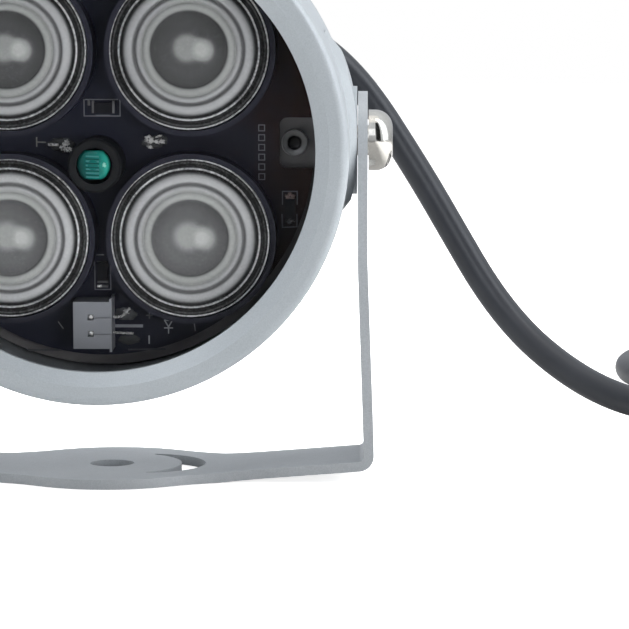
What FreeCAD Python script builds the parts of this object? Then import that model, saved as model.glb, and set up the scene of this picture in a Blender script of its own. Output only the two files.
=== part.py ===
import FreeCAD, Part
import math
import os

from FreeCAD import Vector

# Infrared illuminator: a round die-cast head with four lenses in a U-shaped sheet bracket.
# Millimetres. +Z is up, the lamp faces -Y and +X is to the right of someone who looks at its face.
# The origin is the middle of the fixing hole, on the underside of the foot.

os.makedirs("parts", exist_ok=True)

# Bracket
sheet = 1.5
foot_radius = 17.4
strip_width = 19.0
strip_rise_from = 17.6
strip_rise_angle = 4.4
strip_rise_radius = 30.0
bracket_clearance = 3.9
bend_radius = 0.9
arm_lean_angle = 2.05
arm_straight_height = 34.0
arm_curve_radius = 60.0
arm_end_drop = 1.8
foot_corner_radius = 25.0
foot_hole_radius = 3.5
slot_inner_radius = 11.1
slot_outer_radius = 9.95
slot_outer_offset = 5.0
slot_half_angle = 56.0
pivot_height = 53.1

# Pivots
pivot_hole_radius = 2.75
pivot_thread_radius = 2.4
pivot_shank_length = 10.5
pivot_head_radius = 4.8
pivot_head_height = 3.8
pivot_head_gap = 0.15
pivot_head_crown = 2.75
recess_reach = 2.4
recess_half_width = 0.6
recess_depth = 1.7
pivot_pad_radius = 8.5
pivot_pad_gap = 0.15
side_boss_height = 1.2
side_boss_rise = 1.4
side_boss_foot_x = 34.0
side_boss_foot_radius = 16.0
side_boss_tip_radius = 8.2
inner_boss_radius = 5.5
inner_boss_depth = 7.0

# Head, measured from its face at depth 0 towards the back
head_tilt = 2.0
face_to_pivot = 28.0
head_radius = 38.0
head_depth = 50.0
wall = 3.5
rear_wall = 3.5
rear_edge_radius = 3.0
ring_depth = 5.0
ring_rim_width = 5.0
ring_chamfer_width = 2.1
ring_chamfer_depth = 1.2
ring_edge_radius = 1.3
ring_lip = 2.2
thread_depth = 7.0
thread_wall = 2.0
thread_gap = 0.1
thread_relief = 1.0
window_gap = 0.1
window_thickness = 3.0
skirt_wall = 1.7
window_bevel = 0.3
gasket_thickness = 0.8
gasket_inset = 0.2
ring_seal_section = 1.4
ring_seal_groove = 1.5

# Cooling fins and cable entry on the back
fin_height = 5.0
fin_thickness = 2.0
fin_pitch = 6.2
fin_count = 11
fin_inset = 4.0
entry_boss_radius = 9.0
entry_clear_radius = 13.5
entry_bore_radius = 5.5

# Board stack
board_depth = 16.0
board_thickness = 1.6
board_gap = 2.0
plate_thickness = 2.0
plate_gap = 0.3
ear_width = 7.8
ear_reach = 8.5
ear_thickness = 6.0
notch_depth = 5.3
notch_corner_radius = 1.2
board_screw_inset = 5.0
board_screw_rise = 0.45
board_screw_radius = 1.2
board_screw_head_radius = 2.0
board_screw_head_height = 1.5
board_screw_length = 6.0
board_screw_edge = 0.5
board_recess_reach = 0.9
board_recess_half_width = 0.2
board_recess_depth = 1.0
board_dish_radius = 1.05
board_dish_depth = 0.55
plate_window_width = 24.0
plate_window_height = 11.0
plate_window_height_above_axis = -6.0

# Lenses
lens_spacing_x = 27.65
lens_spacing_z = 28.65
lens_group_rise = 0.5
lens_top_depth = 7.0
lens_seat_depth = 10.6
lens_flange_radius = 12.1
lens_flange_thickness = 1.4
lens_dome_radius = 10.6
lens_shoulder_radius = 9.9
lens_shoulder_height = 0.5
lens_foot_radius = 6.5
lens_foot_gap = 0.4
lens_cavity_radius = 4.4
lens_cavity_depth = 3.0
lens_underside_step = 0.6
holder_radius = 13.0
holder_gap = 0.1
holder_rim = 0.4
holder_wall = 1.6
emitter_side = 5.8
emitter_base = 0.8
emitter_dome_radius = 2.8
emitter_dome_height = 1.6
emitter_dome_edge = 1.4

# Light sensor
sensor_x = -0.6
sensor_z = -2.5
sensor_depth = 8.8
sensor_radius = 2.6
sensor_thickness = 2.0
sensor_flat = 2.2
sensor_lead_radius = 0.25
sensor_lead_spacing = 3.4
sleeve_radius = 4.1
sleeve_depth = 8.2
sleeve_wall = 1.3
sleeve_bevel = 0.3

# Pin socket on the board
socket_left = -4.3
socket_right = 1.25
socket_bottom = -30.75
socket_top = -23.5
socket_height = 5.8
socket_wall = 0.7
socket_floor = 1.2
socket_back_wall = 1.6
socket_rib_thickness = 0.35
socket_rib_overhang = 0.5
peephole_side = 0.9
peephole_x = -1.6
relief_width = 0.25
relief_depth = 0.4
pin_pitch = 2.54
pin_side = 0.64
pin_upper_z = -25.9
pin_tip_inset = 0.8
pin_height = 2.9
pin_bend_x = 2.8
pin_foot_end = 4.7

# Small parts on the board
resistor_length = 3.2
resistor_width = 1.6
resistor_height = 0.6
resistor_cap = 0.5
resistor_cap_rise = 0.06
resistor_places = [
    (0.0, 5.8, 0.0),
    (28.8, -9.75, 90.0),
    (-0.2, -19.6, 90.0),
]
choke_radius = 4.5
choke_height = 6.0
choke_flange = 0.8
choke_waist = 1.0
choke_x = -6.5
capacitor_radius = 3.15
capacitor_height = 7.0
capacitor_crimp = 0.3
capacitor_crimp_start = 0.9
capacitor_crimp_slope = 0.3
capacitor_crimp_width = 0.4
capacitor_x = 5.5

# Cable entry and cable
cable_radius = 2.7
nut_across_flats = 22.0
nut_thickness = 4.6
nut_gap = 0.1
nut_thread = 3.4
nut_corner_bevel = 2.0
nut_face_inset = 0.3
boot_flange_radius = 7.4
boot_flange_thickness = 1.8
boot_root_radius = 5.0
boot_tip_radius = 3.6
boot_length = 17.0
boot_grooves = 4
boot_groove_width = 1.1
boot_groove_depth = 0.8
boot_plain_root = 1.5
boot_plain_tip = 2.0
wire_radius = 0.75
wire_spacing = 2.4
wire_bend_radius = 4.0
wire_straight = 9.0
wire_rise = 7.0
wire_inset = 1.5

# Cable route on the bench, from the end of the boot to the side of the coil
cable_route = [
    (0.0, 53.0, 54.95),
    (0.5, 65.2, 58.0),
    (2.6, 76.0, 64.0),
    (8.0, 85.1, 69.2),
    (15.2, 91.6, 71.4),
    (22.8, 96.0, 71.0),
    (30.2, 98.6, 67.9),
    (36.3, 99.6, 63.0),
    (41.9, 98.9, 56.3),
    (47.1, 96.4, 48.3),
    (52.1, 92.9, 40.4),
    (57.3, 89.6, 31.5),
    (63.0, 85.8, 21.9),
    (69.2, 80.7, 14.2),
    (76.0, 74.2, 8.6),
    (83.0, 67.2, 4.8),
    (90.2, 61.6, 2.8),
    (98.4, 57.3, 2.7),
    (109.0, 54.8, 2.7),
    (120.5, 55.0, 2.7),
    (131.8, 58.6, 2.7),
    (141.8, 65.4, 2.7),
    (149.8, 74.8, 2.7),
    (155.4, 86.0, 2.9),
    (160.6, 95.2, 3.4),
]
arc_share = 0.45

# Coil and the socket on its end
coil_x = 126.75
coil_y = 110.0
coil_outer_turn = 35.0
coil_inner_turn = 26.0
coil_upper_turn = 29.5
coil_layer_rise = 5.4
coil_corner_radius = 2.5
tie_width = 3.6
tie_thickness = 0.8
tie_angle = -110.0
connector_radius = 5.4
connector_length = 24.0
connector_neck_radius = 3.7
connector_neck_length = 12.0
connector_bore_radius = 2.75
connector_bore_depth = 9.5
connector_pin_radius = 1.05
connector_pin_length = 8.5
connector_angle = 90.0
connector_edge_radius = 0.8
connector_neck_step = 0.6

# Places that follow from the sizes above
face_y = -face_to_pivot
back_y = face_y + head_depth
board_y = face_y + board_depth
board_back_y = board_y + board_thickness
plate_back_y = board_back_y + plate_thickness
seam_y = face_y + ring_depth
cavity_radius = head_radius - wall
bracket_half_span = head_radius + bracket_clearance
ring_opening_radius = head_radius - ring_rim_width
ring_chamfer_radius = ring_opening_radius + ring_chamfer_width
thread_radius = head_radius - thread_wall
window_radius = thread_radius - thread_gap - skirt_wall - window_gap
fin_circle_radius = head_radius - fin_inset
board_radius = cavity_radius - board_gap
ear_inner_edge = cavity_radius - ear_reach
notch_inner_edge = board_radius - notch_depth
board_screw_offset = cavity_radius - board_screw_inset
cavity_back_y = back_y - rear_wall
fin_back_y = back_y + fin_height
arm_inner_x = bracket_half_span - sheet - (arm_straight_height - bend_radius) * math.tan(
    math.radians(arm_lean_angle))
arm_outer_x = arm_inner_x + sheet
pad_x = arm_inner_x - pivot_pad_gap
window_y = face_y + ring_lip + gasket_thickness
coil_bore_radius = coil_inner_turn - cable_radius
coil_lower_radius = coil_outer_turn + cable_radius
coil_upper_radius = coil_upper_turn + cable_radius
coil_step = tie_thickness + coil_layer_rise
coil_top = coil_step + cable_radius * 2
across = Vector(1, 0, 0)
backward = Vector(0, 1, 0)
upward = Vector(0, 0, 1)


def turned(points, axis_point=Vector(0, 0, 0)):
    """Revolve a closed outline of (radius, y) points about a line along Y."""
    corners = [Vector(radius, y, 0) for radius, y in points]
    face = Part.Face(Part.makePolygon(corners + corners[:1]))
    solid = face.revolve(Vector(0, 0, 0), backward, 360)
    solid.translate(axis_point)
    return solid


def rod(radius, start, end):
    """A round bar between two points."""
    run = end - start
    return Part.makeCylinder(radius, run.Length, start, run)


def block(low, high):
    """A box between two corners."""
    return Part.makeBox(high[0] - low[0], high[1] - low[1], high[2] - low[2], Vector(*low))


def edges_near(shape, test):
    """The edges of a shape whose middle point passes a test."""
    chosen = []
    for edge in shape.Edges:
        middle = edge.valueAt((edge.FirstParameter + edge.LastParameter) / 2)
        if test(edge, middle):
            chosen.append(edge)
    return chosen


def rounded_path(points, radii):
    """Straight runs through points, joined by tangent arcs of the given radii."""
    edges = []
    start = points[0]
    for index in range(1, len(points) - 1):
        corner = points[index]
        into = (corner - points[index - 1]).normalize()
        out = (points[index + 1] - corner).normalize()
        turn = into.getAngle(out)
        reach = radii[index - 1] * math.tan(turn / 2)
        first = corner - into * reach
        last = corner + out * reach
        centre_direction = (out - into).normalize()
        centre = corner + centre_direction * (radii[index - 1] / math.cos(turn / 2))
        middle = centre - centre_direction * radii[index - 1]
        edges.append(Part.LineSegment(start, first).toShape())
        edges.append(Part.Arc(first, middle, last).toShape())
        start = last
    edges.append(Part.LineSegment(start, points[-1]).toShape())
    return Part.Wire(edges)


def on_head(shape):
    """Carry a shape from the head's own frame to its place in the bracket."""
    placed = shape.copy()
    placed.rotate(Vector(0, 0, 0), across, head_tilt)
    placed.translate(Vector(0, 0, pivot_height))
    return placed


def on_both_sides(shape):
    """The shape and its mirror image across the middle of the lamp, as separate solids."""
    return [shape, shape.mirror(Vector(0, 0, 0), across)]


def save(name, shape):
    """Write one piece, or a group of separate like pieces, as a STEP file."""
    solids = shape if isinstance(shape, list) else [shape]
    result = solids[0] if len(solids) == 1 else Part.makeCompound(solids)
    result.exportStep("parts/" + name + ".step")


def side_profile():
    """The section of the bent sheet on the right side, as a face in the XZ plane."""
    rise = math.radians(strip_rise_angle)
    lean = math.radians(arm_lean_angle)
    corner_z = (bracket_half_span - strip_rise_from) * math.tan(rise)
    lean_height = arm_straight_height - corner_z
    corner_x = arm_outer_x + lean_height * math.tan(lean)
    top = pivot_height + strip_width / 2
    outer = [
        Vector(0, 0, 0),
        Vector(strip_rise_from, 0, 0),
        Vector(corner_x, 0, corner_z),
        Vector(arm_outer_x, 0, arm_straight_height),
        Vector(arm_outer_x, 0, top),
    ]
    outer_radii = [strip_rise_radius, bend_radius + sheet, arm_curve_radius]
    inner_corner_x = corner_x - sheet / math.cos(lean) * (1 + math.tan(rise))
    inner_corner_z = corner_z + sheet / math.cos(rise) - sheet * math.tan(rise)
    inner = [
        Vector(0, 0, sheet),
        Vector(strip_rise_from - sheet * math.tan(rise / 2), 0, sheet),
        Vector(inner_corner_x, 0, inner_corner_z),
        Vector(arm_inner_x, 0, arm_straight_height),
        Vector(arm_inner_x, 0, top),
    ]
    inner_radii = [strip_rise_radius - sheet, bend_radius, arm_curve_radius - sheet]
    outer_wire = rounded_path(outer, outer_radii)
    inner_wire = rounded_path(inner, inner_radii)
    ends = [
        Part.LineSegment(outer[-1], inner[-1]).toShape(),
        Part.LineSegment(inner[0], outer[0]).toShape(),
    ]
    return Part.Face(Part.Wire(Part.__sortEdges__(outer_wire.Edges + inner_wire.Edges + ends)))


def make_plan():
    """The bracket's outline seen from above, as a tall prism: round foot and straight strap."""
    reach = bracket_half_span + bend_radius + sheet
    height = pivot_height + strip_width
    disc = Part.makeCylinder(foot_radius, height)
    strap = block((-reach, -strip_width / 2, 0), (reach, strip_width / 2, height))
    plan = disc.fuse(strap).removeSplitter()
    meeting_x = math.sqrt(foot_radius ** 2 - (strip_width / 2) ** 2)

    def is_inner_corner(edge, middle):
        at_corner = abs(abs(middle.x) - meeting_x) < 0.1 and abs(abs(middle.y) - strip_width / 2) < 0.1
        return at_corner and abs(edge.Length - height) < 0.1

    return plan.makeFillet(foot_corner_radius, edges_near(plan, is_inner_corner))


def make_bracket():
    """The folded sheet: round foot, rising strips and two upright arms."""
    half = side_profile().extrude(Vector(0, foot_radius * 2, 0))
    half.translate(Vector(0, -foot_radius, 0))
    reach = bracket_half_span + bend_radius + sheet
    side_view = block((0, -foot_radius, 0), (reach, foot_radius, pivot_height - arm_end_drop))
    end_height = pivot_height - arm_end_drop
    arm_end = rod(strip_width / 2, Vector(0, 0, end_height), Vector(reach, 0, end_height))
    half = half.common(side_view.fuse(arm_end).removeSplitter())
    half = half.cut(rod(pivot_hole_radius, Vector(0, 0, pivot_height), Vector(reach, 0, pivot_height)))
    strap = half.fuse(half.mirror(Vector(0, 0, 0), across)).removeSplitter()
    bracket = strap.common(make_plan())
    return bracket.cut(Part.makeCylinder(foot_hole_radius, sheet)).cut(make_slot())


def make_slot():
    """The crescent slot in the foot: widest in its middle, with small round ends."""
    inner = Part.makeCylinder(slot_inner_radius, sheet)
    outer = Part.makeCylinder(slot_outer_radius, sheet, Vector(slot_outer_offset, 0, 0))
    sector = Part.makeCylinder(foot_radius, sheet, Vector(0, 0, 0), upward, slot_half_angle * 2)
    sector.rotate(Vector(0, 0, 0), upward, -slot_half_angle)
    slot = outer.cut(inner).common(sector)
    half_angle = math.radians(slot_half_angle)
    sideways = slot_outer_offset * math.sin(half_angle)
    reach = slot_outer_offset * math.cos(half_angle) + math.sqrt(slot_outer_radius ** 2 - sideways ** 2)
    end_radius = (reach - slot_inner_radius) / 2
    middle = slot_inner_radius + end_radius
    for side in (1, -1):
        place = Vector(middle * math.cos(half_angle), side * middle * math.sin(half_angle), 0)
        slot = slot.fuse(Part.makeCylinder(end_radius, sheet, place))
    return slot.removeSplitter()


def make_pivot_screw():
    """The right pan-head screw with a cross recess, in the head's frame."""
    seat = arm_outer_x + pivot_head_gap
    shank = rod(pivot_thread_radius, Vector(seat - pivot_shank_length, 0, 0), Vector(seat, 0, 0))
    head = rod(pivot_head_radius, Vector(seat, 0, 0), Vector(seat + pivot_head_height, 0, 0))
    crown_x = seat + pivot_head_height
    outer_edge = edges_near(head, lambda edge, middle: middle.x > crown_x - 0.1 and edge.Closed)
    head = head.makeFillet(pivot_head_crown, outer_edge)
    for size_y, size_z in ((recess_reach, recess_half_width), (recess_half_width, recess_reach)):
        low = (crown_x - recess_depth, -size_y, -size_z)
        high = (crown_x + 1, size_y, size_z)
        head = head.cut(block(low, high))
    return shank.fuse(head).removeSplitter()


def make_fins():
    """Upright cooling fins on the back wall, clear of the cable entry."""
    fins = []
    limit = rod(fin_circle_radius, Vector(0, back_y - 1, 0), Vector(0, fin_back_y, 0))
    entry = rod(entry_clear_radius, Vector(0, back_y - 1, 0), Vector(0, fin_back_y, 0))
    for index in range(fin_count):
        x = (index - (fin_count - 1) / 2) * fin_pitch
        low = (x - fin_thickness / 2, back_y - 1, -head_radius)
        high = (x + fin_thickness / 2, fin_back_y, head_radius)
        fins.append(block(low, high).common(limit).cut(entry))
    return fins


def make_ear():
    """The right cast ear that carries the heat plate."""
    low = (ear_inner_edge, plate_back_y, board_screw_rise - ear_width / 2)
    high = (head_radius, plate_back_y + ear_thickness, board_screw_rise + ear_width / 2)
    ear = block(low, high)
    inner_edges = edges_near(ear, lambda edge, middle: middle.x < ear_inner_edge + 0.1 and abs(middle.z) > 1)
    upright_edges = [edge for edge in inner_edges if edge.Length < ear_thickness + 0.1]
    return ear.makeFillet(notch_corner_radius, upright_edges)


def make_side_boss():
    """The raised round of casting under the right arm, with the flat pad that the arm turns on."""
    surface_radius = head_radius + side_boss_height
    foot = Vector(side_boss_foot_x, 0, side_boss_rise)
    flank_height = surface_radius + 1 - side_boss_foot_x
    boss = Part.makeCone(side_boss_foot_radius, side_boss_tip_radius, flank_height, foot, across)
    boss = boss.common(rod(surface_radius, Vector(0, seam_y, 0), Vector(0, back_y, 0)))
    boss = boss.common(block((0, seam_y, -head_radius), (pad_x, back_y, head_radius)))
    pad = rod(pivot_pad_radius, Vector(0, 0, 0), Vector(pad_x, 0, 0))
    core = rod(cavity_radius + 1, Vector(0, seam_y, 0), Vector(0, back_y, 0))
    return boss.fuse(pad).cut(core).removeSplitter()


def make_housing():
    """The cast cup: side wall, back wall with fins and cable entry, side bosses and board ears."""
    shell = turned([
        (0, back_y),
        (head_radius, back_y),
        (head_radius, seam_y),
        (thread_radius, seam_y),
        (thread_radius, seam_y + thread_depth + thread_relief),
        (cavity_radius, seam_y + thread_depth + thread_relief),
        (cavity_radius, cavity_back_y),
        (0, cavity_back_y),
    ])
    rear_edge = edges_near(shell, lambda edge, middle: abs(middle.y - back_y) < 0.1 and
                           edge.Length > 6 * cavity_radius)
    shell = shell.makeFillet(rear_edge_radius, rear_edge)
    outer_limit = rod(head_radius, Vector(0, seam_y, 0), Vector(0, back_y - rear_edge_radius, 0))
    pieces = make_fins()
    pieces.append(rod(entry_boss_radius, Vector(0, back_y - 1, 0), Vector(0, fin_back_y, 0)))
    for side in (1, -1):
        boss_start = Vector(side * (cavity_radius - inner_boss_depth), 0, 0)
        boss = rod(inner_boss_radius, boss_start, Vector(side * (cavity_radius + 1), 0, 0))
        pieces.append(boss.common(outer_limit))
    pieces.extend(on_both_sides(make_side_boss()))
    pieces.extend(on_both_sides(make_ear().common(outer_limit)))
    shell = shell.fuse(pieces).removeSplitter()
    for side in (1, -1):
        thread_start = Vector(side * (arm_outer_x + pivot_head_gap - pivot_shank_length), 0, 0)
        shell = shell.cut(rod(pivot_thread_radius, thread_start, Vector(side * (pad_x + 1), 0, 0)))
        screw_start = Vector(side * board_screw_offset, plate_back_y, board_screw_rise)
        screw_end = screw_start + backward * (board_screw_length - plate_thickness)
        shell = shell.cut(rod(board_screw_radius, screw_start, screw_end))
    shell = shell.cut(rod(entry_bore_radius, Vector(0, cavity_back_y - 1, 0), Vector(0, fin_back_y + 1, 0)))
    groove = turned([
        (thread_radius - 1, seam_y),
        (thread_radius + ring_seal_groove, seam_y),
        (thread_radius + ring_seal_groove, seam_y + ring_seal_groove),
        (thread_radius - 1, seam_y + ring_seal_groove),
    ])
    return shell.cut(groove)


def make_front_ring():
    """The screwed ring in front: chamfered opening, flat rim, rounded edge and threaded skirt."""
    skirt_radius = thread_radius - thread_gap
    ring = turned([
        (ring_opening_radius, face_y + ring_chamfer_depth),
        (ring_chamfer_radius, face_y),
        (head_radius, face_y),
        (head_radius, seam_y),
        (skirt_radius, seam_y),
        (skirt_radius, seam_y + thread_depth),
        (window_radius + window_gap, seam_y + thread_depth),
        (window_radius + window_gap, face_y + ring_lip),
        (ring_opening_radius, face_y + ring_lip),
    ])
    outer_edge = edges_near(ring, lambda edge, middle: abs(middle.y - face_y) < 0.01 and
                            abs(math.hypot(middle.x, middle.z) - head_radius) < 0.01)
    return ring.makeFillet(ring_edge_radius, outer_edge)


def make_window():
    """The flat clear disc behind the ring's lip, with a small bevel."""
    window = rod(window_radius, Vector(0, window_y, 0), Vector(0, window_y + window_thickness, 0))
    return window.makeChamfer(window_bevel, [edge for edge in window.Edges if edge.Closed])


def make_window_gasket():
    """The flat rubber ring between the lip and the window."""
    start = face_y + ring_lip
    return turned([
        (ring_opening_radius + gasket_inset, start),
        (window_radius, start),
        (window_radius, window_y),
        (ring_opening_radius + gasket_inset, window_y),
    ])


def make_ring_seal():
    """The round rubber seal in the housing's front groove."""
    middle_radius = thread_radius + ring_seal_groove / 2 - thread_gap / 2
    seal = Part.makeTorus(middle_radius, ring_seal_section / 2, Vector(0, 0, 0), backward)
    seal.translate(Vector(0, seam_y + ring_seal_groove / 2, 0))
    return seal


def make_plate():
    """The round heat plate behind the board, with a window for the parts on the board's back."""
    radius = cavity_radius - plate_gap
    plate = rod(radius, Vector(0, board_back_y, 0), Vector(0, plate_back_y, 0))
    middle_z = plate_window_height_above_axis
    low = (-plate_window_width / 2, board_back_y - 1, middle_z - plate_window_height / 2)
    high = (plate_window_width / 2, plate_back_y + 1, middle_z + plate_window_height / 2)
    plate = plate.cut(block(low, high))
    for side in (1, -1):
        start = Vector(side * board_screw_offset, board_back_y, board_screw_rise)
        end = Vector(side * board_screw_offset, plate_back_y, board_screw_rise)
        plate = plate.cut(rod(board_screw_radius, start, end))
    return plate


def make_board():
    """The round circuit board with a notch at each plate screw."""
    board = rod(board_radius, Vector(0, board_y, 0), Vector(0, board_back_y, 0))
    low = (notch_inner_edge, board_y - 1, board_screw_rise - ear_width / 2)
    high = (board_radius + 1, board_back_y + 1, board_screw_rise + ear_width / 2)
    notch = block(low, high)
    inner_edges = edges_near(notch, lambda edge, middle: middle.x < notch_inner_edge + 0.1 and
                             abs(middle.z) > 1)
    along_depth = [edge for edge in inner_edges if edge.Length > board_thickness]
    notch = notch.makeFillet(notch_corner_radius, along_depth)
    for cutter in on_both_sides(notch):
        board = board.cut(cutter)
    return board


def make_board_screws():
    """The two pan-head screws that hold the heat plate on the ears."""
    head_y = board_back_y - board_screw_head_height
    start = Vector(board_screw_offset, board_back_y, board_screw_rise)
    front = Vector(board_screw_offset, head_y, board_screw_rise)
    shank = rod(board_screw_radius, start, start + backward * board_screw_length)
    head = rod(board_screw_head_radius, front, start)
    front_edge = edges_near(head, lambda edge, middle: middle.y < head_y + 0.01 and edge.Closed)
    head = head.makeFillet(board_screw_edge, front_edge)
    slots = ((board_recess_reach, board_recess_half_width), (board_recess_half_width, board_recess_reach))
    for size_x, size_z in slots:
        low = (board_screw_offset - size_x, head_y - 1, board_screw_rise - size_z)
        high = (board_screw_offset + size_x, head_y + board_recess_depth, board_screw_rise + size_z)
        head = head.cut(block(low, high))
    head = head.cut(rod(board_dish_radius, front, front + backward * board_dish_depth))
    return on_both_sides(shank.fuse(head).removeSplitter())


def make_lens():
    """One moulded lens: stepped dome, flange and a tapered foot with a hollow for the emitter."""
    dome_base = face_y + lens_seat_depth
    dome_top = face_y + lens_top_depth
    shoulder_y = dome_base - lens_shoulder_height
    cap_height = shoulder_y - dome_top
    sphere_radius = (lens_shoulder_radius ** 2 + cap_height ** 2) / (2 * cap_height)
    flange_back = dome_base + lens_flange_thickness
    foot_y = board_y - lens_foot_gap
    body = turned([
        (0, shoulder_y),
        (lens_shoulder_radius, shoulder_y),
        (lens_dome_radius, dome_base),
        (lens_flange_radius, dome_base),
        (lens_flange_radius, flange_back),
        (lens_dome_radius - lens_underside_step, flange_back),
        (lens_foot_radius, foot_y),
        (0, foot_y),
    ])
    ball = Part.makeSphere(sphere_radius, Vector(0, dome_top + sphere_radius, 0))
    cap_limit = rod(lens_shoulder_radius + 1, Vector(0, dome_top - 1, 0), Vector(0, shoulder_y, 0))
    body = body.fuse(ball.common(cap_limit)).removeSplitter()
    hollow_start = Vector(0, foot_y - lens_cavity_depth, 0)
    hollow = rod(lens_cavity_radius, hollow_start, Vector(0, foot_y, 0))
    return body.cut(hollow)


def make_holder():
    """One black lens holder: a tube with a stepped seat for the lens flange."""
    rim_y = face_y + lens_seat_depth - holder_rim
    seat_y = face_y + lens_seat_depth + lens_flange_thickness
    seat_radius = lens_flange_radius + holder_gap
    throat = holder_radius - holder_wall
    outline = [
        (throat, seat_y),
        (seat_radius, seat_y),
        (seat_radius, rim_y),
        (holder_radius, rim_y),
        (holder_radius, board_y),
        (throat, board_y),
    ]
    return turned(outline)


def make_emitter():
    """One infrared emitter: a square base with a low clear dome."""
    half = emitter_side / 2
    base = block((-half, board_y - emitter_base, -half), (half, board_y, half))
    dome_start = Vector(0, board_y - emitter_base - emitter_dome_height, 0)
    dome = rod(emitter_dome_radius, dome_start, Vector(0, board_y - emitter_base, 0))
    front_edge = edges_near(dome, lambda edge, middle: middle.y < dome_start.y + 0.01 and edge.Closed)
    dome = dome.makeFillet(emitter_dome_edge, front_edge)
    return base.fuse(dome).removeSplitter()


def make_sensor():
    """The light sensor: a flat-sided disc on two wire legs."""
    front_y = face_y + sensor_depth
    back = front_y + sensor_thickness
    disc = rod(sensor_radius, Vector(sensor_x, front_y, sensor_z), Vector(sensor_x, back, sensor_z))
    low = (sensor_x - sensor_radius, front_y - 1, sensor_z - sensor_flat)
    high = (sensor_x + sensor_radius, back + 1, sensor_z + sensor_flat)
    disc = disc.common(block(low, high))
    for side in (-0.5, 0.5):
        x = sensor_x + side * sensor_lead_spacing
        leg = rod(sensor_lead_radius, Vector(x, back - 0.5, sensor_z), Vector(x, board_y, sensor_z))
        disc = disc.fuse(leg)
    return disc.removeSplitter()


def make_sleeve():
    """The rubber sleeve that shades the light sensor from the sides."""
    front_y = face_y + sleeve_depth
    bore = sleeve_radius - sleeve_wall
    return turned([
        (bore, front_y),
        (sleeve_radius - sleeve_bevel, front_y),
        (sleeve_radius, front_y + sleeve_bevel),
        (sleeve_radius, board_y),
        (bore, board_y),
    ], Vector(sensor_x, 0, sensor_z))


def make_socket():
    """The two-way side-entry socket: its mouth faces left, and its back wall carries a thin rib."""
    front_y = board_y - socket_height
    body = block((socket_left, front_y, socket_bottom), (socket_right, board_y, socket_top))
    low = (socket_left - 1, front_y + socket_wall, socket_bottom + socket_wall)
    high = (socket_right - socket_back_wall, board_y - socket_floor, socket_top - socket_wall)
    body = body.cut(block(low, high))
    rib_low = (socket_right, front_y, socket_bottom - socket_rib_overhang)
    rib_high = (socket_right + socket_rib_thickness, board_y, socket_top + socket_rib_overhang)
    body = body.fuse(block(rib_low, rib_high))
    for z in socket_pin_heights():
        half = peephole_side / 2
        low = (peephole_x - half, front_y - 1, z - half)
        high = (peephole_x + half, front_y + socket_wall + 0.1, z + half)
        body = body.cut(block(low, high))
        low = (peephole_x, front_y - 1, z - relief_width / 2)
        high = (socket_right + socket_rib_thickness + 1, front_y + relief_depth, z + relief_width / 2)
        body = body.cut(block(low, high))
        body = body.cut(make_pin(z))
    return body.removeSplitter()


def socket_pin_heights():
    """The place of each pin up the board."""
    return [pin_upper_z - pin * pin_pitch for pin in range(2)]


def make_pin(z):
    """One square pin: it lies in the socket, bends down behind it and ends flat on its pad."""
    tip = socket_left + pin_tip_inset
    top = board_y - pin_height
    outline = [
        (tip, top),
        (pin_bend_x, top),
        (pin_bend_x, board_y - pin_side),
        (pin_foot_end, board_y - pin_side),
        (pin_foot_end, board_y),
        (pin_bend_x - pin_side, board_y),
        (pin_bend_x - pin_side, top + pin_side),
        (tip, top + pin_side),
    ]
    corners = [Vector(x, y, z - pin_side / 2) for x, y in outline]
    return Part.Face(Part.makePolygon(corners + corners[:1])).extrude(Vector(0, 0, pin_side))


def make_socket_pins():
    """The two bent pins of the socket."""
    return [make_pin(z) for z in socket_pin_heights()]


def make_resistors():
    """The small chip resistors on the front of the board."""
    pieces = []
    for x, z, turn in resistor_places:
        half = resistor_length / 2
        low = (-half, board_y - resistor_height, -resistor_width / 2)
        chip = block(low, (half, board_y, resistor_width / 2))
        waist_low = (-half + resistor_cap, board_y - resistor_height - 1, -resistor_width)
        waist_high = (half - resistor_cap, board_y - resistor_height + resistor_cap_rise, resistor_width)
        chip = chip.cut(block(waist_low, waist_high))
        chip.rotate(Vector(0, 0, 0), backward, turn)
        chip.translate(Vector(x, 0, z))
        pieces.append(chip)
    return pieces


def make_choke():
    """The wound choke on the back of the board, seen as a drum core with its winding."""
    end = board_back_y + choke_height
    return turned([
        (0, board_back_y),
        (choke_radius, board_back_y),
        (choke_radius, board_back_y + choke_flange),
        (choke_radius - choke_waist, board_back_y + choke_flange),
        (choke_radius - choke_waist, end - choke_flange),
        (choke_radius, end - choke_flange),
        (choke_radius, end),
        (0, end),
    ], Vector(choke_x, 0, plate_window_height_above_axis))


def make_capacitor():
    """The round smoothing capacitor on the back of the board, with its crimped neck."""
    end = board_back_y + capacitor_height
    crimp_start = board_back_y + capacitor_crimp_start
    crimp_end = crimp_start + capacitor_crimp_slope * 2 + capacitor_crimp_width
    neck_radius = capacitor_radius - capacitor_crimp
    return turned([
        (0, board_back_y),
        (capacitor_radius, board_back_y),
        (capacitor_radius, crimp_start),
        (neck_radius, crimp_start + capacitor_crimp_slope),
        (neck_radius, crimp_end - capacitor_crimp_slope),
        (capacitor_radius, crimp_end),
        (capacitor_radius, end),
        (0, end),
    ], Vector(capacitor_x, 0, plate_window_height_above_axis))


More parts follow.
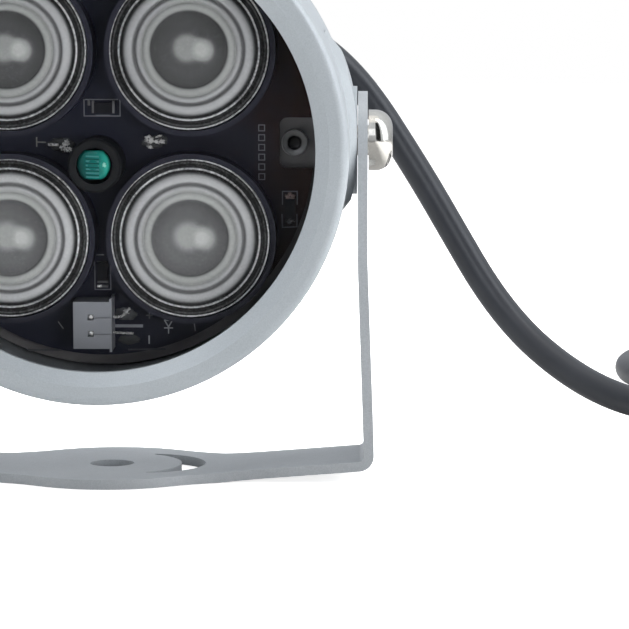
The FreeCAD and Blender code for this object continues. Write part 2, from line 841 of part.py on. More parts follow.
def make_boot():
    """The ribbed, tapered rubber boot that leads the cable out of the back."""
    flange_end = fin_back_y + boot_flange_thickness
    tip = fin_back_y + boot_length
    bore_radius = entry_bore_radius - nut_gap
    outline = [
        (0, cavity_back_y),
        (bore_radius, cavity_back_y),
        (bore_radius, fin_back_y),
        (boot_flange_radius, fin_back_y),
        (boot_flange_radius, flange_end),
        (boot_root_radius, flange_end),
    ]
    first_groove = fin_back_y + nut_thickness + boot_plain_root
    groove_pitch = (tip - boot_plain_tip - first_groove) / boot_grooves

    def taper(y):
        share = (y - flange_end) / (tip - flange_end)
        return boot_root_radius + (boot_tip_radius - boot_root_radius) * share

    for groove in range(boot_grooves):
        start = first_groove + groove * groove_pitch
        end = start + boot_groove_width
        outline.append((taper(start), start))
        outline.append((taper(start) - boot_groove_depth, start))
        outline.append((taper(end) - boot_groove_depth, end))
        outline.append((taper(end), end))
    outline.append((boot_tip_radius, tip))
    outline.append((0, tip))
    return turned(outline)


def make_entry_nut():
    """The hexagon nut that clamps the boot's flange on the cable entry."""
    start = fin_back_y - nut_thread
    end = fin_back_y + nut_thickness
    corner = nut_across_flats / math.sqrt(3)
    corners = []
    for index in range(6):
        angle = math.radians(60 * index)
        corners.append(Vector(corner * math.cos(angle), start, corner * math.sin(angle)))
    hexagon = Part.Face(Part.makePolygon(corners + corners[:1])).extrude(Vector(0, end - start, 0))
    cone = Part.makeCone(corner + nut_corner_bevel, nut_across_flats / 2 - nut_face_inset, end - start,
                         Vector(0, start, 0), backward)
    nut = hexagon.common(cone)
    thread = rod(entry_boss_radius + nut_gap, Vector(0, start - 1, 0), Vector(0, fin_back_y, 0))
    pocket_end = fin_back_y + boot_flange_thickness + nut_gap
    pocket = rod(boot_flange_radius + nut_gap, Vector(0, fin_back_y - 1, 0), Vector(0, pocket_end, 0))
    mouth = rod(boot_root_radius + nut_gap, Vector(0, start, 0), Vector(0, end + 1, 0))
    return nut.cut(thread).cut(pocket).cut(mouth)


def make_supply_wires():
    """The two insulated wires from the cable's end to the back of the board."""
    wires = []
    for side in (-1, 1):
        x = side * wire_spacing / 2
        board_z = plate_window_height_above_axis + plate_window_height / 2 - wire_inset
        points = [
            Vector(x, cavity_back_y, 0),
            Vector(x, cavity_back_y - wire_straight, 0),
            Vector(x, board_back_y + wire_rise, board_z),
            Vector(x, board_back_y, board_z),
        ]
        path = rounded_path(points, [wire_bend_radius, wire_bend_radius])
        ring = Part.Wire(Part.makeCircle(wire_radius, points[0], backward))
        wires.append(path.makePipeShell([ring], True, False))
    return wires


def boot_tip_point():
    """The middle of the boot's end face, in the bracket's frame."""
    y = fin_back_y + boot_length
    tilt = math.radians(head_tilt)
    return Vector(0, y * math.cos(tilt), y * math.sin(tilt) + pivot_height)


def cable_points():
    """The corners of the cable's route, from the boot to the coil's side."""
    points = [boot_tip_point()]
    for place in cable_route:
        points.append(Vector(*place))
    return points


def make_cable_lead():
    """The round cable from the boot to the coil, as straight runs and tangent arcs."""
    points = cable_points()
    radii = []
    for index in range(1, len(points) - 1):
        before = points[index] - points[index - 1]
        after = points[index + 1] - points[index]
        shorter = min(before.Length, after.Length)
        turn = before.getAngle(after)
        radii.append(arc_share * shorter / math.tan(turn / 2))
    path = rounded_path(points, radii)
    ring = Part.Wire(Part.makeCircle(cable_radius, points[0], points[1] - points[0]))
    lead = path.makePipeShell([ring], True, False)
    section = math.pi * cable_radius ** 2
    print("cable radii", [round(radius, 1) for radius in radii])
    volume_share = lead.Volume / (section * path.Length)
    print("cable length", round(path.Length, 2), "volume share", round(volume_share, 4))
    return lead.cut(make_coil())


def make_coil():
    """The outer shape of the neat coil that holds the rest of the cable: a wide and a narrow layer."""
    coil = turned([
        (coil_bore_radius, tie_thickness),
        (coil_lower_radius, tie_thickness),
        (coil_lower_radius, coil_step),
        (coil_upper_radius, coil_step),
        (coil_upper_radius, coil_top),
        (coil_bore_radius, coil_top),
    ])
    coil.rotate(Vector(0, 0, 0), across, 90)

    def is_outer_corner(edge, middle):
        return edge.Closed and not (abs(middle.z - coil_step) < 0.01 and
                                    abs(math.hypot(middle.x, middle.y) - coil_upper_radius) < 0.01)

    coil = coil.makeFillet(coil_corner_radius, edges_near(coil, is_outer_corner))
    coil.translate(Vector(coil_x, coil_y, 0))
    return coil


def make_tie():
    """The flat band that holds the turns of the coil together, drawn tight over both layers."""
    outline = [
        (coil_bore_radius, tie_thickness),
        (coil_lower_radius, tie_thickness),
        (coil_lower_radius, coil_step - coil_corner_radius),
        (coil_upper_radius, coil_top),
        (coil_bore_radius, coil_top),
    ]
    corners = [Vector(radius, -tie_width / 2, z) for radius, z in outline]
    inside = Part.Face(Part.makePolygon(corners + corners[:1]))
    band = inside.makeOffset2D(tie_thickness).cut(inside).extrude(Vector(0, tie_width, 0))
    band.rotate(Vector(0, 0, 0), upward, tie_angle)
    band.translate(Vector(coil_x, coil_y, 0))
    return band.cut(make_coil())


def make_connector():
    """The inline power socket that lies on the coil, with its moulded neck."""
    body = rod(connector_radius, Vector(0, 0, 0), Vector(0, connector_length, 0))
    body = body.makeFillet(connector_edge_radius, [edge for edge in body.Edges if edge.Closed])
    neck = Part.makeCone(connector_radius - connector_neck_step, connector_neck_radius, connector_neck_length,
                         Vector(0, connector_length, 0), backward)
    body = body.fuse(neck).removeSplitter()
    body = body.cut(rod(connector_bore_radius, Vector(0, -1, 0), Vector(0, connector_bore_depth, 0)))
    pin_start = connector_bore_depth - connector_pin_length
    pin = rod(connector_pin_radius, Vector(0, pin_start, 0), Vector(0, connector_bore_depth + 0.5, 0))
    body = body.fuse(pin).removeSplitter()
    body.rotate(Vector(0, 0, 0), upward, 180)
    ring = (coil_inner_turn + coil_upper_turn) / 2
    body.translate(Vector(ring, (connector_length + connector_neck_length) / 2, coil_top + connector_radius))
    body.rotate(Vector(0, 0, 0), upward, connector_angle)
    body.translate(Vector(coil_x, coil_y, 0))
    return body


def lens_places():
    """The name of each lens position and its middle on the board."""
    places = []
    for row, up in (("upper", 1), ("lower", -1)):
        for column, right in (("left", -1), ("right", 1)):
            x = right * lens_spacing_x / 2
            z = up * lens_spacing_z / 2 + lens_group_rise
            places.append((row + "_" + column, Vector(x, 0, z)))
    return places


save("mounting_bracket", make_bracket())
save("pivot_screws", [on_head(screw) for screw in on_both_sides(make_pivot_screw())])
save("housing", on_head(make_housing()))
save("front_ring", on_head(make_front_ring()))
save("front_window", on_head(make_window()))
save("window_gasket", on_head(make_window_gasket()))
save("ring_seal", on_head(make_ring_seal()))
save("heat_plate", on_head(make_plate()))
save("circuit_board", on_head(make_board()))
save("board_screws", [on_head(screw) for screw in make_board_screws()])
for place_name, middle in lens_places():
    for kind, maker in (("lens", make_lens), ("holder", make_holder), ("emitter", make_emitter)):
        piece = maker()
        piece.translate(middle)
        save(kind + "_" + place_name, on_head(piece))
save("photocell", on_head(make_sensor()))
save("photocell_sleeve", on_head(make_sleeve()))
save("power_socket", on_head(make_socket()))
save("socket_pins", [on_head(pin) for pin in make_socket_pins()])
save("chip_resistors", [on_head(chip) for chip in make_resistors()])
save("choke_coil", on_head(make_choke()))
save("smoothing_capacitor", on_head(make_capacitor()))
save("cable_boot", on_head(make_boot()))
save("entry_nut", on_head(make_entry_nut()))
save("supply_wires", [on_head(wire) for wire in make_supply_wires()])
save("cable_lead", make_cable_lead())
save("cable_coil", make_coil())
save("dc_connector", make_connector())
save("cable_tie", make_tie())
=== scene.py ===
import bmesh
import bpy
import math

from mathutils import Matrix, Vector
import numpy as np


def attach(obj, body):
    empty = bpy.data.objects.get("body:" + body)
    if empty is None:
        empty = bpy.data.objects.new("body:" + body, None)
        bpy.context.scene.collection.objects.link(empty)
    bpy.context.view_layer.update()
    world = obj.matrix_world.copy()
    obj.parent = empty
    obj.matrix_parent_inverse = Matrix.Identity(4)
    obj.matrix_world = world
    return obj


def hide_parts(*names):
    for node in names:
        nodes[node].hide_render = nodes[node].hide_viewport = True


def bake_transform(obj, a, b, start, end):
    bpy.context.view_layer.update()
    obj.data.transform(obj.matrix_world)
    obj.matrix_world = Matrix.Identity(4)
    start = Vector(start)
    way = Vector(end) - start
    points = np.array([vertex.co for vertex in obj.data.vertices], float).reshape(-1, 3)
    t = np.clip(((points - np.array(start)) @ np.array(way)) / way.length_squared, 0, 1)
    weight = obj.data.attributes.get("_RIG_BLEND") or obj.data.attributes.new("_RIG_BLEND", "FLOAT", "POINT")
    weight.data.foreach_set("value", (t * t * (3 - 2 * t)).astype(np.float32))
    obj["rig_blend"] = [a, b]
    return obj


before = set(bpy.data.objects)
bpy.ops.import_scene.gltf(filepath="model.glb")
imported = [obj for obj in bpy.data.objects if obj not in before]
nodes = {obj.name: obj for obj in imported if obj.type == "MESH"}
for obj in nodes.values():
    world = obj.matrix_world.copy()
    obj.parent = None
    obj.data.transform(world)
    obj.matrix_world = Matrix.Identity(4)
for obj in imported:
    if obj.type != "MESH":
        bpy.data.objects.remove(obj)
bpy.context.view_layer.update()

# Metres, +Z up, the lamp faces -Y. The head's own frame has its origin at the pivot.
PIVOT_HEIGHT = 0.0531
HEAD_TILT = math.radians(2.0)
HEAD = Matrix.Translation((0, 0, PIVOT_HEIGHT)) @ Matrix.Rotation(HEAD_TILT, 4, "X")
FACE_Y = -0.028
MILLIMETRE = 0.001

# Depths behind the face of the front ring, in millimetres.
BOARD_DEPTH = 16.0
SENSOR_DEPTH = 8.66

# Middle of each lens in the head's frame, as x and z.
LENS_PLACES = {
    "upper_left": (-0.013975, 0.014945),
    "upper_right": (0.013675, 0.014945),
    "lower_left": (-0.013975, -0.013705),
    "lower_right": (0.013675, -0.013705),
}

# The cable's route in millimetres, the same points as in part.py.
LEAD_POINTS = [
    (0.0, 43.973, 54.636),
    (0.0, 53.0, 54.95),
    (0.5, 65.2, 58.0),
    (2.6, 76.0, 64.0),
    (8.0, 85.1, 69.2),
    (15.2, 91.6, 71.4),
    (22.8, 96.0, 71.0),
    (30.2, 98.6, 67.9),
    (36.3, 99.6, 63.0),
    (41.9, 98.9, 56.3),
    (47.1, 96.4, 48.3),
    (52.1, 92.9, 40.4),
    (57.3, 89.6, 31.5),
    (63.0, 85.8, 21.9),
    (69.2, 80.7, 14.2),
    (76.0, 74.2, 8.6),
    (83.0, 67.2, 4.8),
    (90.2, 61.6, 2.8),
    (98.4, 57.3, 2.7),
    (109.0, 54.8, 2.7),
    (120.5, 55.0, 2.7),
    (131.8, 58.6, 2.7),
    (141.8, 65.4, 2.7),
    (149.8, 74.8, 2.7),
    (155.4, 86.0, 2.9),
    (160.6, 95.2, 3.4),
]
COIL_CENTRE = (126.75, 110.0)
COIL_START_ANGLE = -2.0
COIL_POINTS_PER_TURN = 16
# Turns made so far, with the radius and the height of the coil's line there.
COIL_STATIONS = [
    (0.0, 37.0, 3.5),
    (2.0, 26.2, 3.5),
    (2.06, 25.9, 4.5),
    (2.14, 25.8, 7.6),
    (2.2, 25.9, 8.9),
    (2.82, 29.3, 8.9),
    (2.94, 29.9, 9.6),
]
COIL_TAIL = [
    (157.2, 104.8, 10.9),
    (160.0, 113.5, 12.8),
    (161.15, 121.75, 14.8),
    (159.5, 128.9, 16.2),
    (154.85, 134.7, 16.9),
    (149.4, 137.75, 17.0),
    (144.75, 137.75, 17.0),
]
CABLE_RADIUS = 0.0027
CABLE_SIDES = 28
CABLE_BLEND_FROM = (0.07, 0, 0)
ROUTE_RESOLUTION = 6


# Materials, by name

materials = {}


def new_material(name):
    """A new entry of the materials: its node tree, and its Principled shader, which it shows."""
    material = bpy.data.materials.new(name)
    material.use_nodes = True
    tree = material.node_tree
    tree.nodes.clear()
    output = tree.nodes.new("ShaderNodeOutputMaterial")
    shader = tree.nodes.new("ShaderNodeBsdfPrincipled")
    tree.links.new(shader.outputs["BSDF"], output.inputs["Surface"])
    materials[name] = material
    return tree, shader


def show(tree, shader_output):
    """Makes a shader the one that the material or the world shows."""
    tree.links.new(shader_output, tree.get_output_node("ALL").inputs["Surface"])


def colour(value):
    """A grey number or an RGB triple as RGBA."""
    if isinstance(value, (int, float)):
        return (value, value, value, 1)
    return (*value, 1)


def coordinates(tree, kind="Object"):
    return tree.nodes.new("ShaderNodeTexCoord").outputs[kind]


def components(tree, vector):
    """The X, Y and Z outputs of a vector."""
    node = tree.nodes.new("ShaderNodeSeparateXYZ")
    tree.links.new(vector, node.inputs["Vector"])
    return node.outputs


def attribute(tree, name):
    """A stored number of the mesh, as a value."""
    node = tree.nodes.new("ShaderNodeAttribute")
    node.attribute_name = name
    return node.outputs["Fac"]


def noise(tree, scale, detail=3.0, roughness=0.5):
    """Noise over the object's own coordinates, with its scale in 1 / metres."""
    node = tree.nodes.new("ShaderNodeTexNoise")
    node.inputs["Scale"].default_value = scale
    node.inputs["Detail"].default_value = detail
    node.inputs["Roughness"].default_value = roughness
    tree.links.new(coordinates(tree), node.inputs["Vector"])
    return node.outputs["Fac"]


def ramp(tree, source, stops):
    """A colour ramp of (position, colour) stops, fed by a value."""
    node = tree.nodes.new("ShaderNodeValToRGB")
    elements = node.color_ramp.elements
    while len(elements) > 1:
        elements.remove(elements[-1])
    elements[0].position = stops[0][0]
    elements[0].color = colour(stops[0][1])
    for position, value in stops[1:]:
        element = elements.new(position)
        element.color = colour(value)
    tree.links.new(source, node.inputs["Fac"])
    return node.outputs["Color"]


def spread(tree, source, low, high):
    """A value from 0 to 1 carried to the range from low to high."""
    node = tree.nodes.new("ShaderNodeMapRange")
    node.inputs["To Min"].default_value = low
    node.inputs["To Max"].default_value = high
    tree.links.new(source, node.inputs["Value"])
    return node.outputs["Result"]


def feed(tree, socket, value):
    """Puts a number, a colour or another node's output on a socket."""
    if isinstance(value, (int, float, tuple)):
        socket.default_value = value
    else:
        tree.links.new(value, socket)


def combine(tree, operation, first, second):
    """Two values, or a value and a number, through a Math node."""
    node = tree.nodes.new("ShaderNodeMath")
    node.operation = operation
    feed(tree, node.inputs[0], first)
    feed(tree, node.inputs[1], second)
    return node.outputs["Value"]


def weighed(tree, first, first_share, second, second_share):
    """Two values added, each times its share."""
    return combine(tree, "ADD", combine(tree, "MULTIPLY", first, first_share),
                   combine(tree, "MULTIPLY", second, second_share))


def half_range(tree, source, gain=0.5):
    """A value round 0 carried to one round 0.5."""
    return combine(tree, "ADD", combine(tree, "MULTIPLY", source, gain), 0.5)


def mixed_colour(tree, first, second, factor, blend="MIX"):
    """Two colours mixed or multiplied, as far as the factor says."""
    node = tree.nodes.new("ShaderNodeMix")
    node.data_type = "RGBA"
    node.blend_type = blend
    feed(tree, node.inputs["Factor"], factor)
    feed(tree, node.inputs["A"], first)
    feed(tree, node.inputs["B"], second)
    return node.outputs["Result"]


def mixed_shader(tree, first, second, factor):
    """The first shader where the factor is 0 and the second where it is 1."""
    node = tree.nodes.new("ShaderNodeMixShader")
    tree.links.new(factor, node.inputs["Fac"])
    tree.links.new(first, node.inputs[1])
    tree.links.new(second, node.inputs[2])
    return node.outputs["Shader"]


def bump(tree, shader, height, distance):
    """A bump from a height value on the shader's normal."""
    node = tree.nodes.new("ShaderNodeBump")
    node.inputs["Distance"].default_value = distance
    tree.links.new(height, node.inputs["Height"])
    tree.links.new(node.outputs["Normal"], shader.inputs["Normal"])


def painted_metal(name, light, dark, roughness):
    """Sprayed silver-grey lacquer: fine metallic grain, a soft orange peel and faint clouding."""
    tree, shader = new_material(name)
    clouds = noise(tree, 45, 4.0)
    grain = noise(tree, 5200, 2.0, 0.6)
    mixed = weighed(tree, clouds, 0.45, grain, 0.55)
    tree.links.new(ramp(tree, mixed, [(0.34, dark), (0.66, light)]), shader.inputs["Base Color"])
    gloss = spread(tree, noise(tree, 700, 3.0), roughness - 0.06, roughness + 0.06)
    tree.links.new(gloss, shader.inputs["Roughness"])
    shader.inputs["Metallic"].default_value = 0.25
    shader.inputs["Specular IOR Level"].default_value = 0.4
    height = combine(tree, "ADD", noise(tree, 1500, 2.0), combine(tree, "MULTIPLY", grain, 0.35))
    bump(tree, shader, height, 0.00001)


def bare_metal(name, base, roughness, scale=900):
    """Plated or machined metal with a fine grain."""
    tree, shader = new_material(name)
    fine = noise(tree, scale, 4.0, 0.6)
    low = tuple(channel * 0.86 for channel in base)
    tree.links.new(ramp(tree, fine, [(0.3, low), (0.7, base)]), shader.inputs["Base Color"])
    tree.links.new(spread(tree, fine, roughness - 0.05, roughness + 0.08), shader.inputs["Roughness"])
    shader.inputs["Metallic"].default_value = 1.0
    bump(tree, shader, fine, 0.000006)


def plastic(name, base, roughness, scale=2600, depth=0.000012, vary=0.12, shine=0.4):
    """Moulded plastic, rubber or print: spark-eroded grain and slight clouding."""
    tree, shader = new_material(name)
    clouds = noise(tree, 120, 3.0)
    low = tuple(channel * (1 - vary) for channel in base)
    high = tuple(channel * (1 + vary) for channel in base)
    tree.links.new(ramp(tree, clouds, [(0.3, low), (0.7, high)]), shader.inputs["Base Color"])
    grain = noise(tree, scale, 3.0, 0.6)
    tree.links.new(spread(tree, grain, roughness - 0.07, roughness + 0.07), shader.inputs["Roughness"])
    shader.inputs["Specular IOR Level"].default_value = shine
    bump(tree, shader, grain, depth)


def clear_plastic(name, ior, tint, roughness):
    """Clear plastic: light passes straight through, with a faint shine."""
    tree, shader = new_material(name)
    tree.nodes.remove(shader)
    clear = tree.nodes.new("ShaderNodeBsdfTransparent")
    clear.inputs["Color"].default_value = colour(tint)
    gloss = tree.nodes.new("ShaderNodeBsdfGlossy")
    haze = noise(tree, 300, 2.0)
    tree.links.new(spread(tree, haze, roughness * 0.7, roughness * 1.3), gloss.inputs["Roughness"])
    fresnel = tree.nodes.new("ShaderNodeFresnel")
    fresnel.inputs["IOR"].default_value = ior
    show(tree, mixed_shader(tree, clear.outputs["BSDF"], gloss.outputs["BSDF"], fresnel.outputs["Fac"]))


def tin(name, stops, roughness, scale, metallic, depth):
    """Tin, bright where its grain is high and dark where it is low; on the solder beads this contrast is
    painted highlights and painted dark reflections.
    """
    tree, shader = new_material(name)
    grain = noise(tree, scale, 3.0, 0.6)
    tree.links.new(ramp(tree, grain, stops), shader.inputs["Base Color"])
    tree.links.new(spread(tree, grain, *roughness), shader.inputs["Roughness"])
    shader.inputs["Metallic"].default_value = metallic
    bump(tree, shader, grain, depth)


def board_lacquer(name):
    """Black solder resist over fine weave: bluish and lighter from the middle to the left, painted light
    from the lenses, and browner towards the right edge.
    """
    tree, shader = new_material(name)
    across = half_range(tree, components(tree, coordinates(tree))["X"], 14.0)
    wander = combine(tree, "MULTIPLY", combine(tree, "SUBTRACT", noise(tree, 150, 3.0), 0.5), 0.25)
    stops = [
        (0.1, (0.027, 0.029, 0.047)),
        (0.45, (0.018, 0.020, 0.035)),
        (0.8, (0.019, 0.019, 0.029)),
        (0.93, (0.028, 0.014, 0.013)),
    ]
    tree.links.new(ramp(tree, combine(tree, "ADD", across, wander), stops), shader.inputs["Base Color"])
    weave = noise(tree, 2600, 3.0, 0.6)
    tree.links.new(spread(tree, weave, 0.26, 0.42), shader.inputs["Roughness"])
    shader.inputs["Specular IOR Level"].default_value = 0.14
    bump(tree, shader, weave, 0.000006)


def screw_face(name):
    """Grey steel of the small screws, by radius: a duller dish, the recess darkened with painted shade and
    the rim lightened with a painted highlight.
    """
    tree, shader = new_material(name)
    # Painted shade in the recess and a painted highlight on the rim.
    stops = [
        (0.0, 0.008),
        (0.30, 0.012),
        (0.345, 0.05),
        (0.38, 0.15),
        (0.55, 0.17),
        (0.62, 0.14),
        (0.66, 0.30),
        (0.69, 0.20),
    ]
    rings = ramp(tree, combine(tree, "DIVIDE", attribute(tree, "ring"), SCREW_RAMP_RADIUS), stops)
    tree.links.new(rings, shader.inputs["Base Color"])
    worn = noise(tree, 1800, 4.0, 0.7)
    tree.links.new(spread(tree, worn, 0.25, 0.5), shader.inputs["Roughness"])
    shader.inputs["Metallic"].default_value = 0.5
    bump(tree, shader, worn, 0.00002)


def sensor_resin(name):
    """Glossy teal resin, darker on the left and lighter towards the right."""
    tree, shader = new_material(name)
    side = half_range(tree, attribute(tree, "across"), 0.2)
    cloud = combine(tree, "MULTIPLY", combine(tree, "SUBTRACT", noise(tree, 900, 3.0), 0.5), 0.3)
    stops = [
        (0.05, (0.004, 0.060, 0.055)),
        (0.3, (0.007, 0.130, 0.115)),
        (0.7, (0.012, 0.210, 0.180)),
        (0.9, (0.030, 0.420, 0.330)),
    ]
    tree.links.new(ramp(tree, combine(tree, "ADD", side, cloud), stops), shader.inputs["Base Color"])
    tree.links.new(spread(tree, noise(tree, 1500, 2.0), 0.1, 0.25), shader.inputs["Roughness"])
    shader.inputs["Specular IOR Level"].default_value = 0.25
    bump(tree, shader, noise(tree, 700, 2.0), 0.00003)


# Rings moulded in a lens: radius in millimetres, reflectance, and a tint that is greener above 0. The bright
# lines at 10.7 and 12.1 mm are painted highlights of the flange's clear edges.
LENS_RINGS_AND_EDGE_HIGHLIGHTS = [
    (0.0, 0.212, 0),
    (3.8, 0.212, 0),
    (5.5, 0.157, 0),
    (5.8, 0.177, 0),
    (6.0, 0.453, 1),
    (6.3, 0.573, 1),
    (6.7, 0.536, 1),
    (7.0, 0.421, 1),
    (7.2, 0.453, 1),
    (7.5, 0.573, 0),
    (7.8, 0.625, 0),
    (8.0, 0.442, 0),
    (8.12, 0.220, 0),
    (8.32, 0.184, 0),
    (8.48, 0.311, 0),
    (8.75, 0.666, 0),
    (9.3, 0.680, 0),
    (9.65, 0.560, 0),
    (9.85, 0.311, 0),
    (10.0, 0.096, 0),
    (10.15, 0.030, 0),
    (10.42, 0.023, 0),
    (10.54, 0.586, 0),
    (10.7, 0.957, 0),
    (10.82, 0.041, 0),
    (11.35, 0.019, 0),
    (11.5, 0.101, 0),
    (11.86, 0.021, 0),
    (11.93, 0.797, 0),
    (12.11, 0.957, 0),
]
LENS_DISC_RADIUS = 5.9
LENS_RAMP_RADIUS = 13.0
SCREW_RAMP_RADIUS = 3.0


def tinted_grey(reflectance, tint):
    """A nearly neutral grey, a little warmer and greener where the tint is 1."""
    balance = (0.985 + 0.005 * tint, 1 + 0.02 * tint, 1.02 - 0.02 * tint)
    return tuple(reflectance * channel for channel in balance)


def lens_material(name, ring_painted_shade_gain, disc_painted_shade_gain):
    """The moulded rings inside a lens, toned by their radius, with the emitter's blurred image as a painted
    highlight and with painted shade.
    """
    tree, shader = new_material(name)
    share = combine(tree, "DIVIDE", attribute(tree, "ring"), LENS_RAMP_RADIUS)
    stops = []
    for radius, reflectance, tint in LENS_RINGS_AND_EDGE_HIGHLIGHTS:
        gain = disc_painted_shade_gain if radius < LENS_DISC_RADIUS else ring_painted_shade_gain
        stops.append((radius / LENS_RAMP_RADIUS, tinted_grey(reflectance * gain, tint)))
    rings = ramp(tree, share, stops)
    # Painted highlight: the emitter's blurred image, a lighter spot off the middle of each lens.
    glow = attribute(tree, "glow")
    painted_spot = ramp(tree, glow, [
        (0.0, tinted_grey(0.212 * disc_painted_shade_gain, 0)),
        (0.25, tinted_grey(0.293 * disc_painted_shade_gain, 0)),
        (0.5, tinted_grey(0.488 * ring_painted_shade_gain, 1)),
        (0.8, tinted_grey(0.639 * ring_painted_shade_gain, 1)),
        (1.0, tinted_grey(0.782 * ring_painted_shade_gain, 1)),
    ])
    in_painted_spot = combine(tree, "MINIMUM", combine(tree, "MULTIPLY", glow, 5.0), 1.0)
    toned = mixed_colour(tree, rings, painted_spot, in_painted_spot)
    # Painted shade over the disc and rings: darker above, lighter on the right.
    painted_shade = ramp(tree, attribute(tree, "shade"), [(0.0, 0.62), (0.5, 0.84), (1.0, 1.0)])
    shaded = mixed_colour(tree, toned, painted_shade, 1.0, "MULTIPLY")
    dust = noise(tree, 2400, 2.0, 0.7)
    patches = noise(tree, 85, 2.0, 0.6)
    worn = weighed(tree, dust, 0.5, patches, 0.5)
    wear = ramp(tree, worn, [(0.38, 0.25), (0.48, 0.6), (0.56, 1.0)])
    on_flange = ramp(tree, share, [(0.0, 0.15), (0.77, 0.15), (0.8, 1.0)])
    tree.links.new(mixed_colour(tree, shaded, wear, on_flange, "MULTIPLY"), shader.inputs["Base Color"])
    tree.links.new(spread(tree, dust, 0.16, 0.34), shader.inputs["Roughness"])
    shader.inputs["Specular IOR Level"].default_value = 0.2
    bump(tree, shader, noise(tree, 500, 3.0), 0.00001)


# One material for each slot of the record
painted_metal("painted_steel", (0.46, 0.48, 0.50), (0.34, 0.36, 0.38), 0.42)
painted_metal("painted_casting", (0.44, 0.475, 0.50), (0.35, 0.38, 0.405), 0.34)
bare_metal("nickel", (0.80, 0.775, 0.72), 0.08, scale=1300)
clear_plastic("clear_window", 1.12, 0.97, 0.03)
plastic("black_rubber", (0.010, 0.011, 0.013), 0.6, shine=0.3)
plastic("bare_aluminium", (0.150, 0.144, 0.148), 0.42, scale=1400, depth=0.00001, vary=0.2)
board_lacquer("black_board")
bare_metal("screw_steel", (0.30, 0.29, 0.28), 0.28)
plastic("clear_lens", (0.22, 0.23, 0.24), 0.2)
plastic("black_plastic", (0.022, 0.023, 0.036), 0.42, shine=0.25)
plastic("emitter_resin", (0.30, 0.30, 0.30), 0.2)
plastic("sensor_green", (0.03, 0.20, 0.15), 0.3)
plastic("grey_nylon", (0.26, 0.272, 0.30), 0.5, scale=1800, depth=0.000008, vary=0.06)
bare_metal("tinned_pin", (0.85, 0.84, 0.82), 0.16)
plastic("resistor_ceramic", (0.011, 0.011, 0.016), 0.35, shine=0.2)
plastic("ferrite", (0.03, 0.03, 0.03), 0.5)
bare_metal("capacitor_can", (0.7, 0.7, 0.7), 0.3)
plastic("wire_jacket", (0.02, 0.02, 0.02), 0.4)
plastic("cable_jacket", (0.024, 0.026, 0.031), 0.33, scale=2200, depth=0.00001, vary=0.1, shine=0.5)

for node in nodes.values():
    for slot in node.material_slots:
        if slot.material and slot.material.name in materials:
            slot.material = materials[slot.material.name]

# Materials of the pieces that are added here
# The solder's tones run from near black to near white: painted highlights and painted dark reflections on
# the beads.
SOLDER_PAINTED_GLINTS = [(0.32, 0.03), (0.38, 0.45), (0.43, 0.97)]
TIN_TONES = [(0.35, 0.8), (0.65, 0.97)]
# The upper lenses get darker copies of the lens colours: painted shade. The lower ones keep them as they
# are.
lens_material("lens_upper_painted_shade", 0.8324, 0.5468)
lens_material("lens_lower", 1.0, 1.0)
clear_plastic("lens_dome", 1.2, 0.98, 0.05)
plastic("silk_print", (0.17, 0.175, 0.20), 0.6)
plastic("bright_silk", (0.36, 0.37, 0.40), 0.6)
plastic("dim_silk", (0.08, 0.082, 0.095), 0.6)
plastic("solder_flux", (0.050, 0.053, 0.056), 0.3, scale=1100, depth=0.00006, vary=0.5)
screw_face("board_screw")
sensor_resin("sensor_resin")
plastic("copper_pad", (0.34, 0.26, 0.25), 0.35, scale=1500, depth=0.00005, vary=0.6)
tin("solder", SOLDER_PAINTED_GLINTS, (0.12, 0.3), scale=1500, metallic=0.35, depth=0.00006)
tin("bright_tin", TIN_TONES, (0.2, 0.34), scale=2100, metallic=0.5, depth=0.00001)
plastic("pad_tin", (0.13, 0.13, 0.14), 0.35, scale=2400, depth=0.00005, vary=0.6)
bare_metal("dull_solder", (0.30, 0.30, 0.29), 0.4, scale=900)
plastic("track_dark", (0.003, 0.065, 0.062), 0.5, shine=0.05)
plastic("track_light", (0.045, 0.26, 0.25), 0.35, shine=0.2)
# Pale glossy resin for the sensor's painted highlight.
plastic("painted_highlight_resin", (0.35, 0.85, 0.72), 0.2, scale=1500, depth=0.00001, vary=0.05, shine=0.8)


# Forms that several pieces share


def add_tube(bm, line, radius, sides):
    """A smooth round tube round a line, with closed ends."""
    tangent = (line[1] - line[0]).normalized()
    side = tangent.orthogonal().normalized()
    rings = []
    for index, point in enumerate(line):
        before = line[max(index - 1, 0)]
        after = line[min(index + 1, len(line) - 1)]
        tangent = (after - before).normalized()
        side = (side - tangent * side.dot(tangent)).normalized()
        other = tangent.cross(side)
        ring = []
        for step in range(sides):
            angle = 2 * math.pi * step / sides
            ring.append(bm.verts.new(point + (side * math.cos(angle) + other * math.sin(angle)) * radius))
        rings.append(ring)
    for first, second in zip(rings, rings[1:]):
        for step in range(sides):
            after = (step + 1) % sides
            bm.faces.new((first[step], first[after], second[after], second[step]))
    bm.faces.new(list(reversed(rings[0])))
    bm.faces.new(rings[-1])
    bmesh.ops.recalc_face_normals(bm, faces=bm.faces)


def smoothstep(low, high, value):
    share = min(max((value - low) / (high - low), 0), 1)
    return share * share * (3 - 2 * share)


def painted_spot_glow(x, z):
    """How strongly the painted highlight of the emitter's blurred image shows at a place in the lens, in
    millimetres from its middle.
    """
    wide = 1 - smoothstep(1.2, 3.3, math.hypot(x + 0.3, z - 0.25))
    core = 1 - smoothstep(0.3, 2.3, math.hypot(x - 2.35, (z + 0.1) * 0.85))
    return min(0.55 * wide + 0.9 * core, 1)


def painted_lens_shade(x, z, radius):
    """Painted shade over a lens: the disc darker above and the rings lighter on the right."""
    in_disc = 1 - smoothstep(5.6, 6.2, radius)
    disc = 0.75 - 0.06 * z
    rings = 0.85 + 0.15 * x / max(radius, 1)
    return min(max(disc * in_disc + rings * (1 - in_disc), 0), 1)


def number_layer(bm, name):
    layers = bm.verts.layers.float
    return layers.get(name) or layers.new(name)


